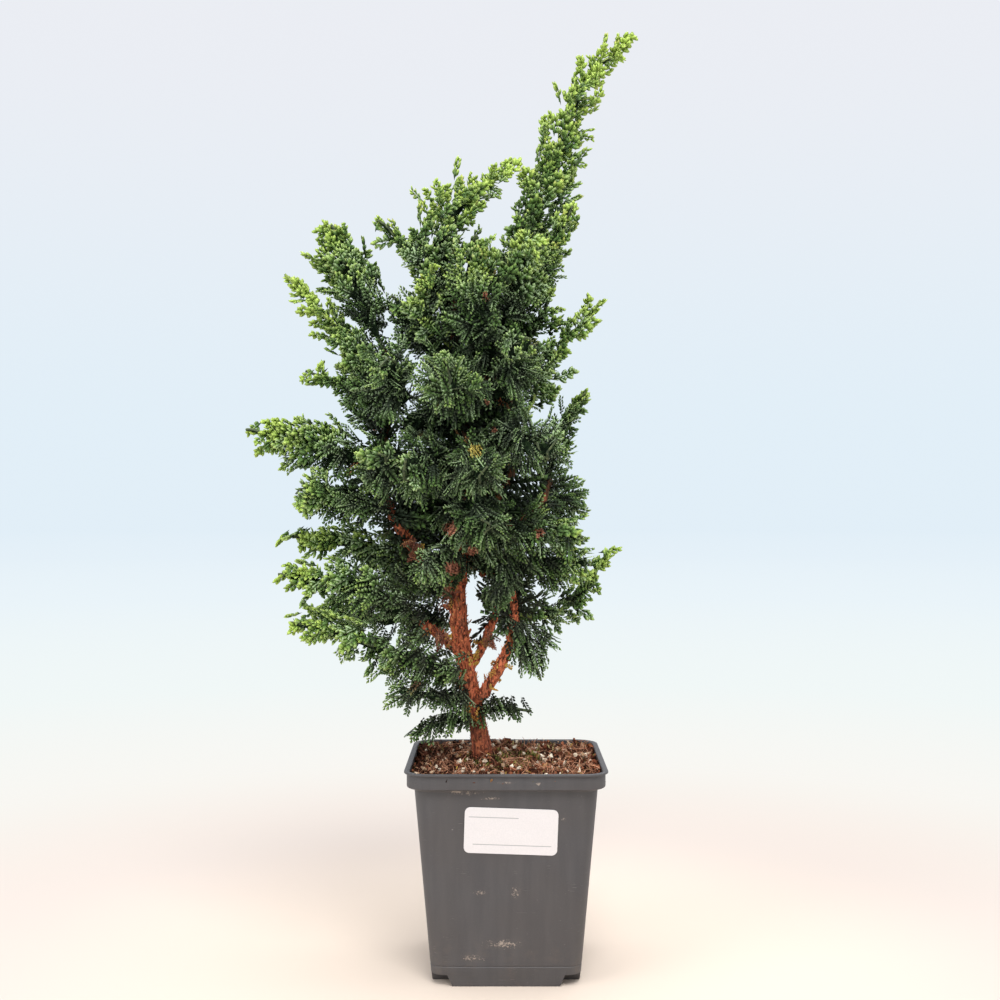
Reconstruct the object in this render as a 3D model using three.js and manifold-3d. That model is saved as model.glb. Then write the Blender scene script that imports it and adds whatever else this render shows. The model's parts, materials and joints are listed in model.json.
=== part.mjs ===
// Hinoki cypress bonsai in a square nursery pot.
// Millimetres, +Z up. The origin is the middle of the pot's foot, and -Y is the front.
import * as THREE from 'three';
import { mergeVertices } from 'three/addons/utils/BufferGeometryUtils.js';
import Module from 'manifold-3d';

const wasm = await Module();
wasm.setup();

// ---- Driving dimensions -------------------------------------------------------------------

const GAP = 0.3; // between pieces that touch

const POT_HEIGHT = 117;
const LIP_HALF = 55; // half the width over the lip
const LIP_THICK = 1.2;
const BAND_HALF = 53.5; // half the width of the upright band under the lip
const BAND_HEIGHT = 7.5;
const BODY_TOP_HALF = 49.7;
const FOOT_HALF = 40.3;
const WALL = 1.4;
const LIP_CORNER = 13; // the radius of the lip's corners
const CORNER_STEPS = 4;

const SKIRT_HALF = 29; // half the length of the skirt in the middle of each side
const NOTCH_HEIGHT = 6.3; // the pot's corners stand this far off the ground
const NOTCH_SLOPE = 2.8; // how much longer a skirt is at the top of the notch
const DRAIN_RADIUS = 2.6;
const DRAIN_PLACE = 34.6; // X and Y of a drain hole, in each corner

const LABEL_WIDTH = 50;
const LABEL_HEIGHT = 25;
const LABEL_THICK = 0.6;
const LABEL_CORNER = 3;
const LABEL_X = 2.6;
const LABEL_Z = 85.5;
const LABEL_TURN = -0.034; // radians, clockwise seen from the front

const SOIL_TOP = 113.6;
const SOIL_RELIEF = 1.2;
const TRUNK_FOOT = [-12, 7, 88]; // the trunk's lower end, inside the soil

const STUB_COUNT = 5; // dead stubs up the bare part of the trunk
const STUB_LENGTH = 4;
const STUBS_FROM = 0.17; // the lowest stub's share of the way up the trunk
const STUBS_TO = 0.42;

const TWIG_RADIUS = 1.25; // of the bare foot of each spray
const LOBES = 5; // leafy lobes in each collar round a twig
const LOBE_LEAN = 0.5; // how far a lobe leans towards the tip, as a share of its reach
const LOBE_LEAST = 0.82; // the shortest lobe's share of the reach
const LOBE_VARIES = 0.3;
const NOTCH_REACH = 0.62; // between two lobes of a collar, as a share of the reach
const NECK_REACH = 0.48; // between two collars
const TIP_REACH = 0.3;
const SPRAY_GAP = 1; // left between the lobes of two sprays
const ROOM_STEP = 3; // between the points that measure a spray's room

const BLADE_THICK = 1.2;
const FAN_LOBE = 5.6; // a tip's fan has one lobe for each such length
const FAN_HALF_ANGLE = 0.66; // radians from a fan's axis to its outermost lobe
const FAN_SUNK = 0.5; // the share of a fan that is inside its spray
const FAN_LEAN = 0.2; // radians from the twig to the fan at its tip

// ---- Materials ----------------------------------------------------------------------------

function finish(color, roughness) {
  return new THREE.MeshStandardMaterial({ color, roughness, metalness: 0 });
}

const POT_PLASTIC = finish(0x4d4c4f, 0.55);
const PAPER = finish(0xf3f3f1, 0.7);
const PEAT = finish(0x5a3426, 0.95);
const BARK = finish(0x8a4a30, 0.9);
const WITHERED = finish(0xb5692c, 0.85);
const GREEN_DEEP = finish(0x2a4f2c, 0.65);
const GREEN_MID = finish(0x3f6e35, 0.65);
const GREEN_BRIGHT = finish(0x6ba03a, 0.6);

// ---- Solids -------------------------------------------------------------------------------

// A closed geometry as a solid that can be joined and cut.
function solidOf(geometry) {
  geometry.deleteAttribute('normal');
  geometry.deleteAttribute('uv');
  const merged = mergeVertices(geometry, 1e-4);
  const corners = merged.index.array;
  const triangles = [];
  for (let i = 0; i < corners.length; i += 3) {
    const [a, b, c] = corners.slice(i, i + 3);
    if (a !== b && b !== c && c !== a) triangles.push(a, b, c);
  }
  return new wasm.Manifold(new wasm.Mesh({
    numProp: 3,
    vertProperties: merged.attributes.position.array,
    triVerts: Uint32Array.from(triangles),
  }));
}

// Joins solids two by two, so that no step joins more than it must.
function join(solids) {
  if (solids.length === 1) return solids[0];
  const half = Math.ceil(solids.length / 2);
  return join(solids.slice(0, half)).add(join(solids.slice(half)));
}

function meshOf(name, solid, material) {
  const { vertProperties, triVerts } = solid.getMesh();
  const geometry = new THREE.BufferGeometry();
  geometry.setAttribute('position', new THREE.BufferAttribute(vertProperties, 3));
  geometry.setIndex(new THREE.BufferAttribute(triVerts, 1));
  geometry.computeVertexNormals();
  const mesh = new THREE.Mesh(geometry, material);
  mesh.name = name;
  return mesh;
}

// A repeatable stream of numbers from 0 to 1.
function randomStream(seed) {
  let state = seed;
  return () => {
    state = (state * 1664525 + 1013904223) % 4294967296;
    return state / 4294967296;
  };
}

// The smooth curve through a list of points.
function curveThrough(path) {
  return new THREE.CatmullRomCurve3(path.map(([x, y, z]) => new THREE.Vector3(x, y, z)));
}

// ---- Pot ----------------------------------------------------------------------------------

// Point number step on a square with rounded corners, counted anticlockwise from +X.
function roundedSquarePoint(half, radius, step) {
  const corner = Math.floor(step / (CORNER_STEPS + 1));
  const angle = (corner + (step % (CORNER_STEPS + 1)) / CORNER_STEPS) * Math.PI / 2;
  const diagonal = (corner + 0.5) * Math.PI / 2;
  const reach = (half - radius) * Math.SQRT2;
  return [
    reach * Math.cos(diagonal) + radius * Math.cos(angle),
    reach * Math.sin(diagonal) + radius * Math.sin(angle),
  ];
}

// A lathe whose round section is drawn out to a rounded square. Each row of the profile is
// half a width and a height. The profile starts and ends on the axis.
function squareLathe(profile, liftOf = () => 0) {
  const sides = 4 * (CORNER_STEPS + 1);
  const outline = profile.map(([half, height]) => new THREE.Vector2(half, height));
  const geometry = new THREE.LatheGeometry(outline, sides);
  const position = geometry.attributes.position;
  for (let side = 0; side <= sides; side += 1) {
    profile.forEach(([half, height], row) => {
      const radius = Math.max(half - LIP_HALF + LIP_CORNER, half * 0.2);
      const [x, y] = roundedSquarePoint(half, radius, side % sides);
      position.setXYZ(side * profile.length + row, x, y, height + liftOf(x, y, row));
    });
  }
  return geometry;
}

// Half the width of the pot's body at a height below the band.
function bodyHalf(z) {
  return FOOT_HALF + (BODY_TOP_HALF - FOOT_HALF) * z / (POT_HEIGHT - BAND_HEIGHT);
}

const BAND_FOOT = POT_HEIGHT - LIP_THICK - BAND_HEIGHT;
const POT_OUTSIDE = [
  [0, 0],
  [FOOT_HALF, 0],
  [bodyHalf(BAND_FOOT - 1), BAND_FOOT - 1],
  [BAND_HALF - 0.7, BAND_FOOT],
  [BAND_HALF, BAND_FOOT + 0.9],
  [BAND_HALF, POT_HEIGHT - LIP_THICK],
  [LIP_HALF, POT_HEIGHT - LIP_THICK],
  [LIP_HALF, POT_HEIGHT],
];
const POT_INSIDE = [
  [BAND_HALF - WALL, POT_HEIGHT],
  [BAND_HALF - WALL, BAND_FOOT + 1.6],
  [bodyHalf(BAND_FOOT) - WALL, BAND_FOOT],
  [FOOT_HALF - WALL, WALL],
  [0, WALL],
];

// A block over one corner of the pot's foot. Its two inner sides lean out as the skirts' ends do,
// and stand back from them towards the middle by the given margin.
function cornerBlock(margin, low, high) {
  const block = new THREE.BoxGeometry(1, 1, 1);
  const position = block.attributes.position;
  const innerAt = (z) => SKIRT_HALF + NOTCH_SLOPE * z / NOTCH_HEIGHT - margin;
  for (let i = 0; i < position.count; i += 1) {
    const z = position.getZ(i) > 0 ? high : low;
    const x = position.getX(i) > 0 ? LIP_HALF : innerAt(z);
    const y = position.getY(i) > 0 ? LIP_HALF : innerAt(z);
    position.setXYZ(i, x, y, z);
  }
  return block;
}

// The same piece in all four corners.
function inEachCorner(solid) {
  return join([0, 90, 180, 270].map((turn) => solid.rotate(0, 0, turn)));
}

function makePot() {
  const outside = solidOf(squareLathe([...POT_OUTSIDE, [0, POT_HEIGHT]]));
  const shell = solidOf(squareLathe([...POT_OUTSIDE, ...POT_INSIDE]));
  const raised = inEachCorner(solidOf(cornerBlock(WALL, 0, NOTCH_HEIGHT + WALL)));
  const notches = inEachCorner(solidOf(cornerBlock(0, -WALL, NOTCH_HEIGHT)));
  const drill = new THREE.CylinderGeometry(DRAIN_RADIUS, DRAIN_RADIUS, 4 * WALL, 10);
  drill.rotateX(Math.PI / 2);
  drill.translate(DRAIN_PLACE, DRAIN_PLACE, NOTCH_HEIGHT + WALL / 2);
  return shell.add(raised.intersect(outside)).subtract(notches).subtract(inEachCorner(solidOf(drill)));
}

// ---- Label --------------------------------------------------------------------------------

function makeLabel() {
  const [x, y, r] = [LABEL_WIDTH / 2, LABEL_HEIGHT / 2, LABEL_CORNER];
  const shape = new THREE.Shape();
  shape.absarc(x - r, y - r, r, 0, Math.PI / 2);
  shape.absarc(r - x, y - r, r, Math.PI / 2, Math.PI);
  shape.absarc(r - x, r - y, r, Math.PI, Math.PI * 1.5);
  shape.absarc(x - r, r - y, r, Math.PI * 1.5, Math.PI * 2);
  const plate = new THREE.ExtrudeGeometry(shape, {
    depth: LABEL_THICK,
    bevelEnabled: false,
    curveSegments: CORNER_STEPS - 1,
  });
  plate.rotateZ(LABEL_TURN);
  const lean = Math.atan2(bodyHalf(LABEL_Z) - bodyHalf(0), LABEL_Z);
  plate.rotateX(Math.PI / 2 + lean);
  plate.translate(LABEL_X, -bodyHalf(LABEL_Z) - GAP, LABEL_Z);
  return solidOf(plate);
}

// ---- Wood ---------------------------------------------------------------------------------

// A limb: a cylinder bent along a smooth curve through the points. shapeAt is told the ring and
// the side that a vertex belongs to, its share of the way along, the middle of its ring and the
// direction it stands out in, and gives its distance from the middle and how far it leans forward.
function bentLimb(path, sides, rings, shapeAt) {
  const curve = curveThrough(path);
  const frames = curve.computeFrenetFrames(rings);
  const geometry = new THREE.CylinderGeometry(1, 1, 1, sides, rings);
  const position = geometry.attributes.position;
  for (let i = 0; i < position.count; i += 1) {
    const ring = Math.round((position.getY(i) + 0.5) * rings);
    const [across, over] = [position.getX(i), position.getZ(i)];
    const side = Math.round((Math.atan2(across, over) / (2 * Math.PI) + 1) * sides) % sides;
    const middle = curve.getPointAt(ring / rings);
    const spread = frames.normals[ring].clone().multiplyScalar(across);
    spread.addScaledVector(frames.binormals[ring], -over);
    const [radius, forward] = shapeAt({ share: ring / rings, ring, side, middle, spread });
    const point = middle.clone().addScaledVector(spread, radius);
    if (spread.lengthSq() > 0.5) point.addScaledVector(frames.tangents[ring], forward);
    position.setXYZ(i, point.x, point.y, point.z);
  }
  return solidOf(geometry);
}

const TRUNK = [TRUNK_FOOT, [-13.5, 5, 112], [-16, 3, 134], [-20, 2, 154], [-24, 1, 174], [-27, 1, 194],
  [-27, 2, 212], [-25, 3, 232], [-22, 3, 257], [-17, 4, 285], [-11, 5, 320], [-3, 6, 354], [7, 6, 386]];
const TRUNK_RADII = [5.4, 1.6];
const ROOT_FLARE = 2.2;
const GOLDEN_ANGLE = Math.PI * (3 - Math.sqrt(5)); // from one stub to the next round the trunk

// The path of each bare limb from the trunk to its tip, with its radius at both ends.
const LIMBS = [
  { radii: [3, 1.7],
    path: [[-17, 1, 148], [-11, -4, 155], [-6, -8, 164], [0, -12, 175], [4, -14, 189], [5, -12, 199],
      [3, -6, 211]] },
  { radii: [2.1, 1.4],
    path: [[-21, 2, 166], [-14, 6, 176], [-11, 10, 184], [-6, 14, 196], [0, 16, 210]] },
  { radii: [2.3, 1.5],
    path: [[-23, 1, 172], [-33, -6, 182], [-39, -10, 188], [-48, -14, 194]] },
  { radii: [3, 1.4],
    path: [[-27, 2, 208], [-37, -8, 222], [-48, -14, 230], [-59, -20, 247], [-67, -20, 262],
      [-69, -17, 280], [-66, -14, 318], [-68, -11, 347]] },
  { radii: [2.2, 1.5],
    path: [[-22, 3, 250], [-6, 0, 262], [3, -4, 277], [8, -6, 296]] },
  { radii: [2.2, 1.4],
    path: [[-24, 4, 240], [0, 8, 248], [20, 10, 260], [25, 10, 274]] },
  { radii: [2.4, 1.5],
    path: [[-17, 4, 283], [-25, 0, 314], [-29, -4, 347], [-30, -6, 381]] },
];
const STUB_RADII = [1.5, 0.8];

// How thick the trunk's roots stand out, at a share of the way up and on one side.
function rootFlare(share, side) {
  const height = Math.exp(-(((share - 0.08) / 0.05) ** 2));
  return ROOT_FLARE * height * (1 + Math.sin(2.4 * side)) / 2;
}

// A limb that thins from one radius to the other, with furrowed bark.
function tapered(path, [root, tip], margin, sides, rings, flareAt = () => 0) {
  return bentLimb(path, sides, rings, ({ share, ring, side }) => {
    const furrows = 0.06 * Math.sin(2.3 * side + 1.9 * ring) + 0.05 * Math.sin(4.1 * side - 2.7 * ring);
    const thick = (root + (tip - root) * share) * (1 + furrows);
    return [thick + flareAt(share, side) + margin, 0];
  });
}

// All the wood, made thicker by the given margin: 0 for the wood itself, or the gap round it.
function makeWood(margin) {
  const parts = [tapered(TRUNK, TRUNK_RADII, margin, 8, 20, rootFlare)];
  for (const { path, radii } of LIMBS) {
    parts.push(tapered(path, radii, margin, 5, Math.round(1.2 * path.length)));
  }
  const trunk = curveThrough(TRUNK);
  for (let i = 0; i < STUB_COUNT; i += 1) {
    const root = trunk.getPointAt(STUBS_FROM + (STUBS_TO - STUBS_FROM) * i / STUB_COUNT);
    const angle = GOLDEN_ANGLE * i;
    const out = new THREE.Vector3(Math.cos(angle), Math.sin(angle), 0.5).normalize();
    const length = STUB_LENGTH * (0.5 + 0.5 * Math.sin(5 * i) ** 2);
    const tip = root.clone().addScaledVector(out, TRUNK_RADII[0] + length);
    parts.push(tapered([root.toArray(), tip.toArray()], STUB_RADII, margin, 4, 1));
  }
  return join(parts);
}

// ---- Soil ---------------------------------------------------------------------------------

// Height of the crumbs over the soil's even level.
function soilRelief(x, y) {
  const crumbs = Math.sin(0.43 * x + 1.3) * Math.cos(0.37 * y) + 0.6 * Math.sin(0.9 * x - 0.7 * y);
  const mound = 1.8 * Math.exp(-((x - TRUNK_FOOT[0]) ** 2 + (y - TRUNK_FOOT[1]) ** 2) / 500);
  return SOIL_RELIEF * crumbs * 0.6 + mound;
}

function makeSoil(woodClear) {
  const inside = [
    [0, WALL + GAP],
    [FOOT_HALF - WALL - GAP, WALL + GAP],
    [bodyHalf(BAND_FOOT) - WALL - 1.5 * GAP, BAND_FOOT],
    [BAND_HALF - WALL - GAP, BAND_FOOT + 2.4],
  ];
  const surface = [BAND_HALF - WALL - GAP, 44, 34, 23, 12, 0].map((half) => [half, SOIL_TOP]);
  const liftOf = (x, y, row) => (row < inside.length ? 0 : soilRelief(x, y));
  const filling = solidOf(squareLathe([...inside, ...surface], liftOf));
  const raised = inEachCorner(solidOf(cornerBlock(WALL + GAP, 0, NOTCH_HEIGHT + WALL + GAP)));
  return filling.subtract(raised).subtract(woodClear);
}

// ---- Foliage ------------------------------------------------------------------------------

// How far a spray's lobes reach from its twig, at a share of the way along it.
function reachAlong({ reach, blunt }, share) {
  const rise = THREE.MathUtils.smoothstep(share, 0.05, 0.29);
  const fall = 1 - 0.6 * THREE.MathUtils.smoothstep(share, blunt ? 0.7 : 0.35, 1.05);
  return reach * rise * fall;
}

// Points all along a spray's twig, with the room that its foliage takes there.
function roomAlong(spray) {
  const curve = curveThrough(spray.path);
  const count = Math.ceil(curve.getLength() / ROOM_STEP);
  return Array.from({ length: count + 1 }, (_, i) => {
    const reach = Math.max(TWIG_RADIUS, reachAlong(spray, i / count));
    return { at: curve.getPointAt(i / count), reach };
  });
}

// The farthest that a lobe can stand out from its own twig before it meets another spray's share
// of the room, or the pot.
function freeReach(middle, direction, wanted, neighbours) {
  const point = new THREE.Vector3();
  const isCrowded = (reach) => neighbours.some((near) => (
    point.distanceTo(near.at) < SPRAY_GAP + reach * near.reach / wanted));
  for (let reach = wanted; reach > TWIG_RADIUS; reach *= 0.92) {
    point.copy(middle).addScaledVector(direction, reach);
    if (point.z > POT_HEIGHT + 2 && !isCrowded(reach)) return reach;
  }
  return TWIG_RADIUS;
}

// A spray's foliage round its twig: collars of lobes that lean towards the tip, turned by half a
// lobe from one collar to the next, with a slimmer neck after each. The squeeze narrows it all.
function leafyTwig(spray, neighbours, squeeze) {
  const curve = curveThrough(spray.path);
  const collars = Math.max(3, Math.round(curve.getLength() / (5.5 + 0.6 * spray.reach)));
  const rings = 2 * collars;
  const random = randomStream(spray.seed);
  const draws = Array.from({ length: (rings + 1) * 2 * LOBES }, random);
  return bentLimb(spray.path, 2 * LOBES, rings, ({ share, ring, side, middle, spread }) => {
    const wanted = reachAlong(spray, share);
    if (ring === 0 || wanted < TWIG_RADIUS) return [TWIG_RADIUS, 0];
    if (ring === rings) return [TIP_REACH * wanted, 0];
    const isNeck = ring % 2 === 0;
    const isLobe = !isNeck && (side + (ring - 1) / 2) % 2 === 0;
    const lean = isLobe ? LOBE_LEAN : 0;
    const direction = spread.clone().addScaledVector(curve.getTangentAt(share), lean);
    const free = squeeze * freeReach(middle, direction, wanted, neighbours);
    const lobe = LOBE_LEAST + LOBE_VARIES * draws[ring * 2 * LOBES + side];
    const between = isNeck ? NECK_REACH : NOTCH_REACH;
    const reach = Math.max(0.7 * TWIG_RADIUS, free * (isLobe ? lobe : between));
    return [reach, lean * reach];
  });
}

// The outline of a flat fan of scale foliage: blunt lobes, cut deeply towards the root.
function fanShape(length, random) {
  const lobes = Math.max(3, Math.round(length / FAN_LOBE));
  const step = 2 * FAN_HALF_ANGLE / (lobes - 1);
  const shape = new THREE.Shape();
  const lineTo = (angle, radius) => shape.lineTo(radius * Math.cos(angle), radius * Math.sin(angle));
  shape.moveTo(-1, -1);
  for (let lobe = 0; lobe < lobes; lobe += 1) {
    const angle = lobe * step - FAN_HALF_ANGLE;
    const reach = length * (1 - 0.3 * (angle / FAN_HALF_ANGLE) ** 2) * (0.9 + 0.2 * random());
    lineTo(angle - 0.26 * step, reach);
    lineTo(angle + 0.26 * step, 0.96 * reach);
    if (lobe < lobes - 1) lineTo(angle + 0.5 * step, length * (0.5 + 0.12 * random()));
  }
  shape.lineTo(-1, 1);
  shape.closePath();
  return shape;
}

// A fan as a thin blade that arches down towards its rim. It grows from the root along grow,
// and its upper side faces face. The margin makes it thicker on both sides.
function fanSolid(shape, { root, grow, face, length }, margin) {
  const thick = BLADE_THICK + 2 * margin;
  const blade = new THREE.ExtrudeGeometry(shape, { depth: thick, bevelEnabled: false });
  const position = blade.attributes.position;
  for (let i = 0; i < position.count; i += 1) {
    const [along, across] = [position.getX(i) / length, position.getY(i) / length];
    const arch = length * (0.16 * along ** 2 + 0.22 * across ** 2);
    position.setZ(i, position.getZ(i) - thick / 2 - arch);
  }
  const side = face.clone().cross(grow);
  blade.applyMatrix4(new THREE.Matrix4().makeBasis(grow, side, face).setPosition(root));
  return solidOf(blade);
}

// The direction out of the crown, from the trunk's line to a point, and upwards.
function outwardFrom(point) {
  const above = TRUNK.findIndex(([, , z]) => z > point.z);
  const [x, y] = TRUNK.at(above);
  const outward = new THREE.Vector3(point.x - x, point.y - y, 0);
  if (outward.length() < 12) outward.set(0, -1, 0);
  return outward.normalize().setZ(0.5);
}

// The root, direction and facing of the fan at a twig's tip, turned about the twig by an angle.
function fanPose(curve, share, angle) {
  const root = curve.getPointAt(share);
  const tangent = curve.getTangentAt(share);
  const outward = outwardFrom(root);
  const spread = outward.addScaledVector(tangent, -outward.dot(tangent)).normalize();
  spread.applyAxisAngle(tangent, angle);
  const [along, aside] = [Math.cos(FAN_LEAN), Math.sin(FAN_LEAN)];
  const grow = tangent.clone().multiplyScalar(along).addScaledVector(spread, aside);
  const face = spread.clone().multiplyScalar(along).addScaledVector(tangent, -aside);
  return { root, grow, face };
}

function boxesMeet(a, b) {
  return [0, 1, 2].every((axis) => a.min[axis] < b.max[axis] && b.min[axis] < a.max[axis]);
}

// Whether a solid is clear of all the solids in a list.
function isClear(solid, others) {
  const box = solid.boundingBox();
  return others.every((other) => !boxesMeet(box, other.box) || solid.intersect(other.solid).isEmpty());
}

function withBox(solid) {
  return { solid, box: solid.boundingBox() };
}

// Sizes of a tip's fan and its turns about the twig, tried in this order until it is clear.
const FAN_SIZES = [1, 0.86, 0.72, 0.6];
const FAN_TURNS = [0, 0.45, -0.45, 0.9, -0.9, 1.4, -1.4, 2, -2, 2.7];

// A leafy twig with the fan at its tip, as one solid. The fan is bent clear of the solids in
// others, and left out where it finds no room.
function addTipFan({ path, reach, fan, seed, solid }, others) {
  const curve = curveThrough(path);
  const random = randomStream(seed);
  const length = fan ?? 8 + 0.7 * reach;
  const shape = fanShape(length, random);
  const natural = 0.6 * (random() - 0.5);
  const share = 1 - FAN_SUNK * length / curve.getLength();
  for (const size of FAN_SIZES) {
    const sized = new THREE.Shape(shape.getPoints().map((point) => point.multiplyScalar(size)));
    for (const turn of FAN_TURNS) {
      const pose = { ...fanPose(curve, share, natural + turn), length: length * size };
      if (isClear(fanSolid(sized, pose, GAP), others)) return solid.add(fanSolid(sized, pose, 0));
    }
  }
  return solid;
}

// The leafy sprays: how far the foliage reaches from the twig, and the twig's path from the wood
// to its tip. A blunt spray stays full to its end, and a slender one ends in a fan, whose length
// is given where it isn't the usual one.
const SPRAYS = [
  { name: 'leader', leaf: GREEN_BRIGHT, reach: 20, fan: 15,
    path: [[5, 6, 378], [10, 6, 394], [18, 6, 417], [26, 5, 446], [34, 4, 472], [42, 3, 493],
      [52, 2, 509], [67, 0, 522]] },
  { name: 'leader_left', leaf: GREEN_MID, reach: 15,
    path: [[3, 6, 370], [4, -6, 392], [8, -10, 414]] },
  { name: 'leader_right', leaf: GREEN_MID, reach: 15,
    path: [[0, 6, 364], [16, -2, 384], [25, -8, 402], [33, -12, 420]] },
  { name: 'leader_front', leaf: GREEN_MID, reach: 18, blunt: true,
    path: [[-3, 6, 352], [6, -20, 372], [11, -30, 392], [14, -34, 406]] },
  { name: 'leader_back', leaf: GREEN_MID, reach: 18, blunt: true,
    path: [[-1, 6, 360], [8, 26, 384], [14, 36, 402], [22, 42, 424]] },
  { name: 'upper_right', leaf: GREEN_MID, reach: 15, blunt: true,
    path: [[-6, 6, 340], [10, 0, 352], [19, -4, 364], [23, -8, 380]] },
  { name: 'top_front', leaf: GREEN_DEEP, reach: 23, blunt: true,
    path: [[-9, 5, 330], [-14, -26, 352], [-16, -38, 378], [-17, -39, 402]] },
  { name: 'top_back', leaf: GREEN_DEEP, reach: 22, blunt: true,
    path: [[-8, 5, 336], [-9, 32, 362], [-15, 48, 382]] },
  { name: 'middle_top', leaf: GREEN_BRIGHT, reach: 23,
    path: [[-30, -6, 376], [-37, -6, 400], [-35, -5, 420], [-27, -4, 432], [-13, -4, 440], [0, -3, 448]] },
  { name: 'middle_top_left', leaf: GREEN_MID, reach: 13,
    path: [[-30, -5, 366], [-42, -15, 386], [-53, -18, 402], [-64, -18, 411]] },
  { name: 'middle_bright', leaf: GREEN_BRIGHT, reach: 16,
    path: [[-29, -4, 346], [-43, -20, 358], [-48, -31, 370], [-40, -37, 384]] },
  { name: 'middle_back', leaf: GREEN_MID, reach: 19, blunt: true,
    path: [[-28, -3, 344], [-33, 22, 370], [-39, 34, 396]] },
  { name: 'left_column', leaf: GREEN_MID, reach: 19, blunt: true,
    path: [[-68, -11, 345], [-79, -8, 370], [-92, -6, 398], [-97, -5, 417]] },
  { name: 'left_upper', leaf: GREEN_BRIGHT, reach: 15, fan: 15,
    path: [[-67, -14, 320], [-83, -16, 344], [-101, -17, 366], [-118, -17, 383]] },
  { name: 'left_column_back', leaf: GREEN_MID, reach: 17,
    path: [[-67, -15, 302], [-75, 10, 320], [-88, 26, 345], [-95, 34, 366]] },
  { name: 'left_small', leaf: GREEN_MID, reach: 10, fan: 11,
    path: [[-66, -14, 316], [-80, -17, 322], [-94, -18, 328], [-106, -18, 332]] },
  { name: 'left_front', leaf: GREEN_DEEP, reach: 23, blunt: true,
    path: [[-67, -15, 306], [-62, -38, 322], [-57, -50, 336]] },
  { name: 'left_big', leaf: GREEN_MID, reach: 21, fan: 16,
    path: [[-69, -17, 281], [-83, -22, 285], [-105, -25, 291], [-121, -26, 296], [-134, -26, 299]] },
  { name: 'left_big_low', leaf: GREEN_DEEP, reach: 21, blunt: true,
    path: [[-65, -20, 257], [-78, -27, 260], [-92, -31, 264], [-109, -33, 269]] },
  { name: 'left_inner', leaf: GREEN_DEEP, reach: 23, blunt: true,
    path: [[-69, -18, 272], [-66, -42, 282], [-60, -58, 280]] },
  { name: 'left_middle', leaf: GREEN_MID, reach: 21,
    path: [[-27, 2, 203], [-49, -2, 218], [-76, -10, 235], [-96, -15, 240], [-113, -18, 240]] },
  { name: 'left_lower', leaf: GREEN_MID, reach: 19,
    path: [[-46, -13, 193], [-64, -25, 205], [-88, -35, 215], [-102, -38, 219], [-113, -39, 219]] },
  { name: 'left_lower_back', leaf: GREEN_DEEP, reach: 18,
    path: [[-27, 1, 190], [-50, 25, 192], [-81, 40, 192], [-109, 48, 194]] },
  { name: 'left_skirt', leaf: GREEN_MID, reach: 21,
    path: [[-20, 2, 157], [-37, -20, 165], [-58, -32, 178], [-80, -38, 188], [-94, -40, 193],
      [-106, -41, 192]] },
  { name: 'left_skirt_low', leaf: GREEN_DEEP, reach: 13,
    path: [[-19, 2, 147], [-33, -20, 154], [-44, -34, 157], [-56, -42, 156]] },
  { name: 'lowest_left', leaf: GREEN_DEEP, reach: 9,
    path: [[-17, 3, 137], [-28, -6, 138], [-38, -10, 137], [-46, -12, 133]] },
  { name: 'lowest_right', leaf: GREEN_DEEP, reach: 8,
    path: [[-17, 2, 140], [-8, -5, 144], [0, -8, 146], [8, -10, 144]] },
  { name: 'right_upper', leaf: GREEN_BRIGHT, reach: 12,
    path: [[8, -6, 293], [14, -8, 318], [25, -9, 341], [38, -10, 358], [50, -10, 368]] },
  { name: 'right_inner', leaf: GREEN_DEEP, reach: 22, blunt: true,
    path: [[-12, 5, 314], [-1, -25, 324], [6, -40, 336], [8, -46, 350]] },
  { name: 'right_column', leaf: GREEN_MID, reach: 15,
    path: [[25, 10, 271], [27, 8, 290], [31, 6, 302], [36, 5, 310], [41, 4, 316]] },
  { name: 'right_dome', leaf: GREEN_MID, reach: 21, blunt: true,
    path: [[-24, 4, 240], [2, -20, 241], [21, -29, 242], [39, -32, 239]] },
  { name: 'right_dome_low', leaf: GREEN_DEEP, reach: 20, blunt: true,
    path: [[-26, 3, 226], [5, -12, 225], [24, -20, 227], [45, -22, 228]] },
  { name: 'right_tip', leaf: GREEN_BRIGHT, reach: 13, fan: 13,
    path: [[5, -12, 198], [22, -6, 196], [36, 0, 202], [48, 4, 216], [58, 5, 232]] },
  { name: 'right_low', leaf: GREEN_DEEP, reach: 17,
    path: [[4, -14, 187], [10, -20, 188], [13, -24, 181], [14, -26, 171]] },
  { name: 'right_low_front', leaf: GREEN_DEEP, reach: 16,
    path: [[3, -6, 209], [0, -20, 217], [-2, -32, 217], [-4, -39, 208]] },
  { name: 'right_low_back', leaf: GREEN_DEEP, reach: 18, blunt: true,
    path: [[0, 16, 207], [1, 26, 207], [4, 36, 200], [5, 41, 188]] },
  { name: 'right_back', leaf: GREEN_DEEP, reach: 23, blunt: true,
    path: [[2, 8, 249], [14, 35, 258], [30, 52, 264], [46, 62, 263]] },
  { name: 'right_back_upper', leaf: GREEN_DEEP, reach: 20, blunt: true,
    path: [[-14, 4, 302], [1, 30, 320], [12, 45, 338], [16, 50, 356]] },
  { name: 'front_upper', leaf: GREEN_DEEP, reach: 27, blunt: true,
    path: [[-24, -1, 312], [-26, -35, 322], [-28, -56, 324], [-30, -68, 314]] },
  { name: 'front_middle_left', leaf: GREEN_DEEP, reach: 26, blunt: true,
    path: [[-19, 4, 276], [-38, -34, 282], [-47, -54, 281], [-52, -66, 270]] },
  { name: 'front_middle', leaf: GREEN_DEEP, reach: 26, blunt: true,
    path: [[-18, 4, 282], [-16, -40, 285], [-15, -62, 280], [-14, -74, 269]] },
  { name: 'front_middle_right', leaf: GREEN_DEEP, reach: 26, blunt: true,
    path: [[-15, 4, 296], [4, -36, 297], [14, -54, 291], [20, -64, 281]] },
  { name: 'front_low', leaf: GREEN_DEEP, reach: 24, blunt: true,
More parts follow.
